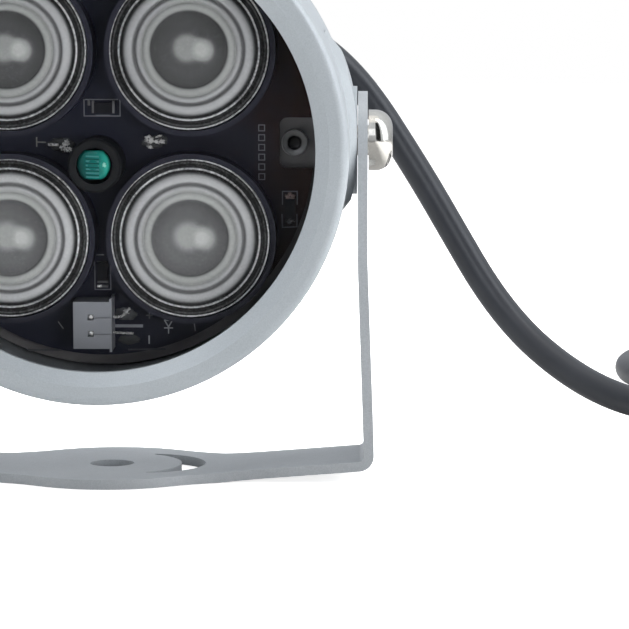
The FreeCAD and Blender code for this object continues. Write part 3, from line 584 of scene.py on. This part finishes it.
def add_turned(bm, profile, centre, segments, flat=None):
    """Turns a (radius, depth) profile round a point of the face, cut flat above and below if asked.

    The profile and the flat's distance are in millimetres. Each vertex keeps what the materials read.
    """
    ring_layer = number_layer(bm, "ring")
    painted_spot_layer = number_layer(bm, "glow")
    across_layer = number_layer(bm, "across")
    painted_shade_layer = number_layer(bm, "shade")
    rings = []
    for radius, depth in profile:
        count = segments if radius > 0 else 1
        ring = []
        for step in range(count):
            angle = 2 * math.pi * step / segments
            x = radius * math.cos(angle)
            z = radius * math.sin(angle)
            if flat:
                z = min(max(z, -flat), flat)
            place = (centre[0] + x * MILLIMETRE, FACE_Y + depth * MILLIMETRE, centre[1] + z * MILLIMETRE)
            vert = bm.verts.new(place)
            vert[ring_layer] = radius
            vert[painted_spot_layer] = painted_spot_glow(x, z)
            vert[across_layer] = x
            vert[painted_shade_layer] = painted_lens_shade(x, z, radius)
            ring.append(vert)
        rings.append(ring)
    for first, second in zip(rings, rings[1:]):
        for step in range(segments):
            after = (step + 1) % segments
            corners = []
            for vert in (first[step % len(first)], first[after % len(first)],
                         second[after % len(second)], second[step % len(second)]):
                if vert not in corners:
                    corners.append(vert)
            if len(corners) > 2:
                bm.faces.new(corners)


def piece_from(bm, name):
    """A smooth-shaded object from a bmesh."""
    mesh = bpy.data.meshes.new(name)
    bm.to_mesh(mesh)
    bm.free()
    for face in mesh.polygons:
        face.use_smooth = True
    piece = bpy.data.objects.new(name, mesh)
    bpy.context.scene.collection.objects.link(piece)
    return piece


def head_piece(bm, name, material, slot, *replaced):
    """A finished piece of the head: built in the head's own frame, set in place and tilted with it."""
    bm.transform(HEAD)
    piece = piece_from(bm, name)
    piece.data.materials.append(materials[material])
    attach(piece, "head")
    if replaced:
        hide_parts(*replaced)
    return piece


def turned_piece(name, profile, centres, material, slot, *replaced, segments):
    """A piece that repeats one turned profile at each centre."""
    bm = bmesh.new()
    for centre in centres:
        add_turned(bm, profile, centre, segments)
    head_piece(bm, name, material, slot, *replaced)


def board_point(x, z, lift=0.0, depth=BOARD_DEPTH):
    """A point lifted off the board or another depth, all in millimetres in the head's frame."""
    return Vector((x * MILLIMETRE, FACE_Y + (depth - lift) * MILLIMETRE, z * MILLIMETRE))


def head_line(points):
    """Points (x, z, depth) in millimetres as positions in the head's frame."""
    return [board_point(x, z, 0.0, depth) for x, z, depth in points]


def strokes(name, lines, material, slot, width, lift=0.03, depth=BOARD_DEPTH):
    """Thin printed or etched lines on the board: each a list of (x, z) points in millimetres."""
    bm = bmesh.new()
    half = width / 2
    for line in lines:
        for (x0, z0), (x1, z1) in zip(line, line[1:]):
            along = Vector((x1 - x0, z1 - z0)).normalized() * half
            side = Vector((-along.y, along.x))
            start = Vector((x0, z0)) - along
            end = Vector((x1, z1)) + along
            outline = []
            for corner in (start + side, end + side, end - side, start - side):
                outline.append(bm.verts.new(board_point(corner.x, corner.y, lift, depth)))
            base = [bm.verts.new(vert.co + Vector((0, lift * MILLIMETRE, 0))) for vert in outline]
            bm.faces.new(outline)
            for step in range(4):
                after = (step + 1) % 4
                bm.faces.new((outline[step], base[step], base[after], outline[after]))
    bmesh.ops.recalc_face_normals(bm, faces=bm.faces)
    piece = head_piece(bm, name, material, slot)
    for face in piece.data.polygons:
        face.use_smooth = False


def box_outline(x0, z0, x1, z1):
    return [(x0, z0), (x1, z0), (x1, z1), (x0, z1), (x0, z0)]


def add_bead(bm, centre, size, turn, lumps, depth):
    """A lumpy rounded bead on the board: centre and half sizes in millimetres, turn in degrees."""
    bead = bmesh.new()
    bmesh.ops.create_icosphere(bead, subdivisions=4, radius=1)
    for vert in bead.verts:
        x, y, z = vert.co
        wave = 1 + lumps * math.sin(5 * x + 3 * centre[0]) * math.cos(6 * z + centre[1])
        wave += 0.6 * lumps * math.sin(13 * x + 9 * z + centre[0]) * math.cos(11 * y + 7 * z)
        vert.co = Vector((x * size[0] * wave, y * size[1] * wave, z * size[2] * wave))
    bead.transform(Matrix.Rotation(math.radians(turn), 4, "Y"))
    bead.transform(Matrix.Scale(MILLIMETRE, 4))
    bead.transform(Matrix.Translation(board_point(*centre, 0.0, depth)))
    mesh = bpy.data.meshes.new("bead")
    bead.to_mesh(mesh)
    bead.free()
    bm.from_mesh(mesh)
    bpy.data.meshes.remove(mesh)


def beads(name, rows, material, slot, depth=BOARD_DEPTH):
    """A piece made of beads, each row with a centre, half sizes, a turn and how lumpy the bead is."""
    bm = bmesh.new()
    for row in rows:
        add_bead(bm, *row, depth)
    head_piece(bm, name, material, slot)


# Cable


def coil_station(turns):
    """Radius and height of the coil's line after a number of turns."""
    for (start, radius_a, height_a), (end, radius_b, height_b) in zip(COIL_STATIONS, COIL_STATIONS[1:]):
        if turns <= end + 1e-9:
            share = (turns - start) / (end - start)
            return radius_a + (radius_b - radius_a) * share, height_a + (height_b - height_a) * share
    return COIL_STATIONS[-1][1:]


def coil_points():
    """The control points of the coil's turns, in millimetres, counter-clockwise from above."""
    points = []
    swell = 1 / math.cos(math.pi / COIL_POINTS_PER_TURN)
    count = int(COIL_STATIONS[-1][0] * COIL_POINTS_PER_TURN)
    for index in range(count + 1):
        turns = index / COIL_POINTS_PER_TURN
        radius, height = coil_station(turns)
        angle = math.radians(COIL_START_ANGLE + 360 * turns)
        x = COIL_CENTRE[0] + radius * swell * math.cos(angle)
        y = COIL_CENTRE[1] + radius * swell * math.sin(angle)
        points.append((x, y, height))
    return points


def centre_line(points):
    """The smooth line of a NURBS spline through control points, as a list of points in metres."""
    curve = bpy.data.curves.new("route", "CURVE")
    curve.dimensions = "3D"
    curve.resolution_u = ROUTE_RESOLUTION
    spline = curve.splines.new("NURBS")
    spline.points.add(len(points) - 1)
    for control, point in zip(spline.points, points):
        control.co = (*(Vector(point) * MILLIMETRE), 1)
    spline.order_u = 3
    spline.use_endpoint_u = True
    holder = bpy.data.objects.new("route", curve)
    mesh = bpy.data.meshes.new_from_object(holder)
    line = [vertex.co.copy() for vertex in mesh.vertices]
    bpy.data.objects.remove(holder)
    bpy.data.curves.remove(curve)
    bpy.data.meshes.remove(mesh)
    return line


cable_line = centre_line(LEAD_POINTS + coil_points() + COIL_TAIL)
cable_mesh = bmesh.new()
add_tube(cable_mesh, cable_line, CABLE_RADIUS, CABLE_SIDES)
cable = piece_from(cable_mesh, "power_cable")
cable.data.materials.append(materials["cable_jacket"])
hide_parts("cable_lead", "cable_coil")
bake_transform(cable, "bracket", "head", start=CABLE_BLEND_FROM, end=(0, 0, 0))


# Lenses


# The relief of the rings outside the lens's middle bowl, as (radius, depth) in millimetres.
RING_RELIEF = [
    (5.75, 10.58), (5.85, 10.42), (6.0, 10.26), (6.2, 10.16), (6.5, 10.12), (6.8, 10.18), (7.0, 10.32),
    (7.1, 10.40), (7.2, 10.32), (7.35, 10.16), (7.6, 10.08), (7.8, 10.12), (7.95, 10.25), (8.05, 10.48),
    (8.2, 10.62), (8.38, 10.56), (8.48, 10.34), (8.6, 10.18), (8.8, 10.08), (9.1, 10.06), (9.4, 10.14),
    (9.7, 10.28), (9.85, 10.42), (10.0, 10.54), (10.3, 10.6), (10.5, 10.56), (10.62, 10.46), (10.74, 10.56),
    (10.9, 10.64), (11.3, 10.64), (11.48, 10.58), (11.6, 10.5), (11.72, 10.58), (11.85, 10.64), (12.0, 10.6),
    (12.08, 10.5), (12.12, 10.62), (12.12, 12.0),
]
BOWL_DEPTH = 10.9
BOWL_RISE = 0.25
BOWL_RADIUS = 5.5
BOWL_STEPS = 22
DOME_EDGE_RADIUS = 9.9
DOME_RISE = 3.1
DOME_TOP_DEPTH = 7.0
DOME_STEPS = 24
DOME_SKIRT = [(10.15, 10.28), (10.4, 10.46), (10.55, 10.56)]


def lens_profile():
    """The bowl in the middle of a lens and the rings round it, under the dome."""
    bowl = []
    for step in range(BOWL_STEPS + 1):
        share = step / BOWL_STEPS
        bowl.append((BOWL_RADIUS * share, BOWL_DEPTH - BOWL_RISE * share ** 2))
    return bowl + RING_RELIEF


def dome_profile():
    """The clear cap over the rings."""
    ball_radius = (DOME_EDGE_RADIUS ** 2 + DOME_RISE ** 2) / (2 * DOME_RISE)
    points = []
    for step in range(DOME_STEPS + 1):
        radius = DOME_EDGE_RADIUS * step / DOME_STEPS
        points.append((radius, DOME_TOP_DEPTH + ball_radius - math.sqrt(ball_radius ** 2 - radius ** 2)))
    return points + DOME_SKIRT


for place, centre in LENS_PLACES.items():
    rings = "lens_upper_painted_shade" if place.startswith("upper") else "lens_lower"
    lens = "lens_" + place
    turned_piece("optic_" + place, lens_profile(), [centre], rings, "clear_lens", lens, segments=128)
    turned_piece("dome_" + place, dome_profile(), [centre], "lens_dome", "clear_lens", segments=96)


# Print, pads and solder on the board, in millimetres in the head's frame

strokes("silk_outlines", [
    [(-2.83, 7.05), (-2.83, 4.56), (2.7, 4.56), (2.7, 7.0)],
    [(-2.6, 7.09), (2.3, 7.09)],
    [(-0.95, 4.66), (1.1, 4.66)],
    [(1.0, -22.3), (-1.45, -22.3), (-1.45, -18.8), (-1.55, -16.9), (-0.1, -16.9)],
    [(0.98, -22.3), (1.0, -18.6)],
    [(-1.05, -17.95), (0.3, -17.95)],
    [(27.62, -9.02), (27.62, -7.03), (29.9, -7.03), (29.9, -9.02)],
    [(27.55, -10.6), (27.6, -12.6), (29.85, -12.5), (29.85, -10.6)],
    [(-7.2, -27.4), (-6.5, -28.4)],
    [(13.9, -27.6), (14.05, -28.7)],
], "silk_print", "black_board", width=0.18)
strokes("minus_mark", [[(6.88, -29.6), (6.88, -30.7)]], "bright_silk", "black_board", width=0.22)
strokes("plus_mark", [
    [(6.5, -26.34), (7.4, -26.34)],
    [(6.94, -25.9), (6.94, -26.8)],
], "dim_silk", "black_board", width=0.2)
strokes("diode_sign", [
    [(9.3, -27.1), (10.5, -27.1), (9.9, -28.15), (9.3, -27.1)],
    [(9.3, -28.3), (10.5, -28.3)],
    [(9.9, -27.0), (9.9, -26.3)],
    [(9.9, -28.35), (9.9, -29.1)],
], "bright_silk", "black_board", width=0.2)
DATE_BOX = 0.9
strokes("date_boxes", [
    box_outline(24.0, z, 24.0 + DATE_BOX, z + DATE_BOX) for z in (-5.2, -3.7, -2.2, -0.7, 0.8, 2.3)
], "silk_print", "black_board", width=0.16)
strokes("board_tracks", [
    [(-12.0, -31.8), (-6.9, -31.8)],
    [(3.7, -31.72), (9.3, -31.6)],
], "dim_silk", "black_board", width=0.26)

# The tinned ends of the resistors lie on their tops, and one end is brighter than the others.
RESISTOR_TOP = 0.66
BRIGHT_END_TOP = 0.68
strokes("resistor_ends", [
    [(-1.42, 5.2), (-1.42, 6.75)],
    [(-2.05, 6.35), (-2.05, 6.8)],
    [(1.72, 5.2), (1.72, 6.75)],
    [(-0.85, -21.04), (0.45, -21.04)],
    [(-0.85, -21.74), (0.45, -21.74)],
], "pad_tin", "tinned_pin", width=0.33, lift=RESISTOR_TOP)
strokes("pad_ends", [
    [(-0.9, -21.72), (-0.55, -21.72)],
], "bright_tin", "tinned_pin", width=0.34, lift=BRIGHT_END_TOP)

beads("sensor_solder", [
    ((-5.55, 0.45), (0.42, 0.5, 0.45), 20, 0.3),
    ((-6.1, -0.2), (0.55, 0.35, 0.6), -10, 0.35),
    ((-5.2, -0.6), (0.5, 0.3, 0.45), 30, 0.35),
    ((7.15, 0.95), (0.75, 0.6, 0.62), 15, 0.2),
    ((7.25, -0.15), (0.45, 0.3, 0.3), 30, 0.3),
    ((8.75, 0.65), (0.85, 0.45, 0.4), 0, 0.2),
    ((8.6, 1.45), (0.55, 0.25, 0.16), -15, 0.2),
], "solder", "tinned_pin")
WIRE_END = [(-8.35, 0.18, 15.7), (-7.6, 0.2, 15.45), (-6.75, 0.16, 15.5)]
wire_end = bmesh.new()
add_tube(wire_end, head_line(WIRE_END), radius=0.00023, sides=16)
head_piece(wire_end, "sensor_wire_end", "bright_tin", "tinned_pin")
beads("sensor_flux", [
    ((-6.4, 0.1), (2.1, 0.12, 1.15), 5, 0.12),
    ((8.0, 0.6), (2.0, 0.12, 1.05), -5, 0.12),
], "solder_flux", "black_board")
strokes("solder_pad_left", [
    [(-10.2, -0.1), (-10.2, 1.2)],
    [(-10.2, 0.55), (-8.9, 0.5)],
], "dull_solder", "tinned_pin", width=0.22)

# The socket's two pins, their tips behind the peepholes and their soldered feet.
UPPER_PIN = [
    (-3.4, -25.95, 13.3), (1.2, -26.1, 13.3), (1.9, -26.3, 13.6), (2.6, -26.35, 14.8), (3.1, -26.1, 15.6),
    (3.3, -25.85, 15.8),
]
LOWER_PIN = [
    (-3.4, -28.45, 13.3), (1.2, -28.55, 13.3), (1.9, -28.75, 13.7), (2.7, -29.0, 15.3), (4.5, -29.12, 15.75),
]
PIN_TIP = [(0, 10.22), (0.2, 10.24), (0.33, 10.32), (0.38, 10.5), (0.38, 11.2)]
PIN_TIP_CENTRES = [(-0.0016, -0.02584), (-0.00156, -0.02834)]
pins = bmesh.new()
add_tube(pins, head_line(UPPER_PIN), radius=0.00022, sides=14)
add_tube(pins, head_line(LOWER_PIN), radius=0.00020, sides=14)
head_piece(pins, "socket_leads", "bright_tin", "tinned_pin", "socket_pins")
turned_piece("socket_pin_tips", PIN_TIP, PIN_TIP_CENTRES, "bright_tin", "tinned_pin", segments=24)
beads("socket_solder", [
    ((3.35, -25.75), (0.45, 0.4, 0.4), 40, 0.3),
    ((3.75, -25.35), (0.3, 0.25, 0.3), 10, 0.35),
], "solder", "tinned_pin")
beads("socket_flux", [
    ((3.3, -26.1), (1.75, 0.16, 1.0), 8, 0.1),
    ((3.8, -30.15), (1.75, 0.16, 0.75), 0, 0.1),
], "solder_flux", "black_board")
strokes("socket_bar", [[(1.5, -27.97), (5.7, -27.98)]], "grey_nylon", "grey_nylon", width=0.46, lift=0.25)

# Solder on the pads of the right resistor, the upper one over bare copper.
beads("resistor_solder_upper", [((28.8, -7.75), (0.75, 0.75, 0.5), 0, 0.3)], "copper_pad", "tinned_pin")
beads("resistor_solder_lower", [((28.8, -11.5), (0.8, 0.75, 0.52), 0, 0.3)], "pad_tin", "tinned_pin")


# Light sensor: a resin-coated disc with a folded track and two leads

SENSOR_X = -0.85
SENSOR_Z = -2.38
SENSOR_PROFILE = [
    (0, 8.62), (0.8, 8.63), (1.6, 8.68), (2.1, 8.78), (2.35, 8.92), (2.52, 9.15), (2.6, 9.5), (2.6, 10.8),
    (0, 10.8),
]
SENSOR_FLAT = 2.2
SENSOR_LEAD_X = 1.7
SENSOR_LEAD_START = 10.6
SENSOR_EDGE_DEPTH = 8.7
TRACK_FALL = 0.08


def sensor_lines(left, right, heights):
    """Lines across the sensor's face, each a little lower on the right."""
    lines = []
    for height in heights:
        z = SENSOR_Z + height
        lines.append([(SENSOR_X + left, z), (SENSOR_X + right, z - TRACK_FALL)])
    return lines


sensor = bmesh.new()
sensor_centre = (SENSOR_X * MILLIMETRE, SENSOR_Z * MILLIMETRE)
add_turned(sensor, SENSOR_PROFILE, sensor_centre, segments=64, flat=SENSOR_FLAT)
for side in (1, -1):
    lead_x = SENSOR_X + side * SENSOR_LEAD_X
    lead = [(lead_x, SENSOR_Z, SENSOR_LEAD_START), (lead_x, SENSOR_Z, BOARD_DEPTH)]
    add_tube(sensor, head_line(lead), radius=0.00025, sides=12)
head_piece(sensor, "light_sensor", "sensor_resin", "sensor_green", "photocell")
strokes("sensor_track", sensor_lines(-1.1, 0.85, (0.93, 0.28, -0.34, -0.86, -1.5)),
        "track_dark", "sensor_green", width=0.17, lift=0.05, depth=SENSOR_DEPTH)
strokes("sensor_film", sensor_lines(-0.95, 0.8, (1.35, 0.6, -0.04, -0.62, -1.2, -1.8)),
        "track_light", "sensor_green", width=0.24, lift=0.03, depth=SENSOR_DEPTH)
# A painted highlight: a small pale bead at the right edge of the sensor's face.
beads("sensor_painted_highlight", [((SENSOR_X + 1.72, SENSOR_Z), (0.28, 0.15, 0.36), -25, 0.2)],
      "painted_highlight_resin", "sensor_green", SENSOR_EDGE_DEPTH)

# Heads of the two screws that hold the heat plate, with a rolled rim and a deep recess.
SCREW_PROFILE = [
    (0.0, 17.3), (0.5, 17.25), (0.96, 17.2), (1.0, 16.6), (1.04, 16.42), (1.12, 16.34), (1.35, 16.27),
    (1.6, 16.2), (1.78, 16.12), (1.86, 16.05), (1.96, 16.07), (2.03, 16.18), (2.06, 16.4), (2.06, 17.55),
]
SCREW_CENTRES = [(0.0295, 0.00045), (-0.0295, 0.00045)]
turned_piece("plate_screws", SCREW_PROFILE, SCREW_CENTRES, "board_screw", "screw_steel", "board_screws",
             segments=64)


# Floor, light and camera

FLOOR_REACH = 3.0
FLOOR_HEIGHT = -0.0001
FLOOR_REFLECTANCE = 0.85
FLOOR_GLOW = 0.8
WORLD_LEVEL = 0.56
WORLD_FRONT_SHADE = 0.36
WORLD_BACK_LIFT = 0.28
MIRRORED_LEVEL = 0.95
RIGHT_PANEL_LEVEL = 1.8
UPPER_PANEL_LEVEL = 2.4
# Direction round the object, with 0.5 straight behind the camera, and the level that metal mirrors there.
SURROUND = [
    (0.0, 0.75), (0.40, 0.62), (0.45, 0.70), (0.49, 0.55), (0.515, 0.85), (0.522, 0.90), (0.532, 0.02),
    (0.600, 0.02), (0.615, 0.95), (0.68, 1.0), (0.72, 0.75), (1.0, 0.75),
]
RIGHT_PANEL_TURN = [(0.64, 0.0), (0.66, 1.0), (0.75, 1.0), (0.78, 0.0)]
RIGHT_PANEL_RISE = [(0.0, 0.0), (0.15, 1.0), (1.0, 1.0)]
UPPER_PANEL_TURN = [(0.38, 0.0), (0.41, 1.0), (0.49, 1.0), (0.51, 0.0)]
UPPER_PANEL_RISE = [(0.3, 0.0), (0.38, 1.0), (0.66, 1.0), (0.74, 0.0)]
SURROUND_HEIGHT = [(0.0, 0.6), (0.5, 0.65), (0.6, 0.85), (0.85, 1.0), (0.93, 1.1), (1.0, 1.1)]
CEILING = [(0.0, 0.0), (0.965, 0.0), (0.985, 1.0)]
# Name, place, aim, size and power of each soft box.
LAMPS = [
    ("right_box", (0.60, 0.10, 0.45), (0, 0, 0.05), (0.5, 0.5), 4.2),
    ("right_front_box", (0.55, -0.20, 0.12), (0.03, 0, 0.05), (0.3, 0.3), 0.7),
    ("left_box", (-0.60, -0.16, 0.32), (0, 0, 0.05), (0.4, 0.4), 1.9),
    ("left_back_box", (-0.60, 0.15, 0.45), (0, 0, 0.05), (0.5, 0.5), 1.5),
    ("top_box", (0.0, 0.05, 0.85), (0, 0, 0.05), (0.8, 0.8), 4.2),
    ("right_low_box", (0.30, -0.50, 0.06), (0.03, 0, 0.04), (0.25, 0.10), 0.75),
    ("back_low_box", (-0.25, 0.42, 0.15), (0, 0, 0), (0.3, 0.2), 1.6),
]
CAMERA_PLACE = (0.0412, -0.450, 0.0712)
CAMERA_PITCH = -5.809
CAMERA_TURN = 1.129
CAMERA_LENS = 163.06
CAMERA_SENSOR = 36.0


def add_floor():
    """A plain pale floor that keeps the object's soft shadow, and that metal mirrors darker close by."""
    bm = bmesh.new()
    corners = [(-1, -1), (1, -1), (1, 1), (-1, 1)]
    bm.faces.new([bm.verts.new((x * FLOOR_REACH, y * FLOOR_REACH, FLOOR_HEIGHT)) for x, y in corners])
    floor = piece_from(bm, "floor")
    tree, shader = new_material("floor")
    rays = tree.nodes.new("ShaderNodeLightPath").outputs
    along = components(tree, coordinates(tree))["X"]
    plain = ramp(tree, rays["Is Glossy Ray"], [(0.0, FLOOR_REFLECTANCE), (1.0, 0.0)])
    near_and_far = ramp(tree, along, [(0.07, 0.28), (0.11, 0.8)])
    mirrored = combine(tree, "MULTIPLY", rays["Is Glossy Ray"], near_and_far)
    tree.links.new(combine(tree, "ADD", plain, mirrored), shader.inputs["Base Color"])
    shader.inputs["Roughness"].default_value = 0.9
    glow = tree.nodes.new("ShaderNodeEmission")
    glow.inputs["Color"].default_value = colour(1)
    tree.links.new(combine(tree, "MULTIPLY", rays["Is Camera Ray"], FLOOR_GLOW), glow.inputs["Strength"])
    total = tree.nodes.new("ShaderNodeAddShader")
    tree.links.new(shader.outputs["BSDF"], total.inputs[0])
    tree.links.new(glow.outputs["Emission"], total.inputs[1])
    show(tree, total.outputs["Shader"])
    floor.data.materials.append(materials["floor"])


def background(tree, tint, strength=1.0):
    """A Background shader of a colour, with a strength that may be another node's output."""
    node = tree.nodes.new("ShaderNodeBackground")
    feed(tree, node.inputs["Color"], tint)
    feed(tree, node.inputs["Strength"], strength)
    return node.outputs["Background"]


def cool_white(level):
    return (0.94 * level, 0.98 * level, 1.04 * level)


def mirrored_surround(tree, direction, forward):
    """What shiny pieces mirror: a pale room with a dark stand, two bright panels and a white ceiling."""
    azimuth = combine(tree, "ARCTAN2", direction["X"], forward)
    turn = combine(tree, "ADD", combine(tree, "DIVIDE", azimuth, 2 * math.pi), 0.5)
    rise = direction["Z"]
    right_rise = ramp(tree, combine(tree, "ADD", rise, 0.3), RIGHT_PANEL_RISE)
    right_panel = combine(tree, "MULTIPLY", ramp(tree, turn, RIGHT_PANEL_TURN), right_rise)
    upper_rise = ramp(tree, rise, UPPER_PANEL_RISE)
    upper_panel = combine(tree, "MULTIPLY", ramp(tree, turn, UPPER_PANEL_TURN), upper_rise)
    panels = weighed(tree, right_panel, RIGHT_PANEL_LEVEL, upper_panel, UPPER_PANEL_LEVEL)
    walls = ramp(tree, turn, [(position, cool_white(level)) for position, level in SURROUND])
    room = mixed_colour(tree, walls, colour(1), ramp(tree, half_range(tree, rise), CEILING))
    shaded = mixed_colour(tree, room, ramp(tree, half_range(tree, rise), SURROUND_HEIGHT), 1.0, "MULTIPLY")
    return background(tree, shaded, combine(tree, "ADD", panels, MIRRORED_LEVEL))


def add_world():
    """An even pale surround: white to the camera, softer as light, and a studio room in reflections."""
    world = bpy.data.worlds.new("studio")
    world.use_nodes = True
    tree = world.node_tree
    tree.nodes.clear()
    tree.nodes.new("ShaderNodeOutputWorld")
    rays = tree.nodes.new("ShaderNodeLightPath").outputs
    direction = components(tree, coordinates(tree, "Generated"))
    forward = combine(tree, "MULTIPLY", direction["Y"], -1.0)
    shade = combine(tree, "MULTIPLY", combine(tree, "MAXIMUM", forward, 0.0), -WORLD_FRONT_SHADE)
    lift = combine(tree, "MULTIPLY", combine(tree, "MAXIMUM", direction["Y"], 0.0), WORLD_BACK_LIFT)
    level = combine(tree, "ADD", combine(tree, "ADD", shade, WORLD_LEVEL), lift)
    light = background(tree, (0.95, 0.975, 1, 1), level)
    mirrored = mirrored_surround(tree, direction, forward)
    unseen = mixed_shader(tree, light, mirrored, rays["Is Glossy Ray"])
    seen = combine(tree, "MAXIMUM", rays["Is Camera Ray"], rays["Is Transmission Ray"])
    show(tree, mixed_shader(tree, unseen, background(tree, colour(1)), seen))
    bpy.context.scene.world = world


def add_lamp(name, place, target, size, power):
    """A soft box aimed at a point, which shiny pieces don't mirror."""
    data = bpy.data.lights.new(name, "AREA")
    data.shape = "RECTANGLE"
    data.size, data.size_y = size
    data.energy = power
    lamp = bpy.data.objects.new(name, data)
    lamp.location = place
    lamp.rotation_euler = (Vector(target) - Vector(place)).to_track_quat("-Z", "Y").to_euler()
    lamp.visible_glossy = False
    bpy.context.scene.collection.objects.link(lamp)


def add_camera():
    """The camera where the photograph was taken from."""
    data = bpy.data.cameras.new("camera")
    data.sensor_width = CAMERA_SENSOR
    data.lens = CAMERA_LENS
    data.clip_start = 0.01
    data.clip_end = 20
    camera = bpy.data.objects.new("camera", data)
    camera.location = CAMERA_PLACE
    camera.rotation_euler = (math.radians(90 + CAMERA_PITCH), 0, math.radians(CAMERA_TURN))
    bpy.context.scene.collection.objects.link(camera)
    bpy.context.scene.camera = camera


add_floor()
add_world()
for lamp_values in LAMPS:
    add_lamp(*lamp_values)
add_camera()
bpy.context.scene.view_settings.view_transform = "Standard"
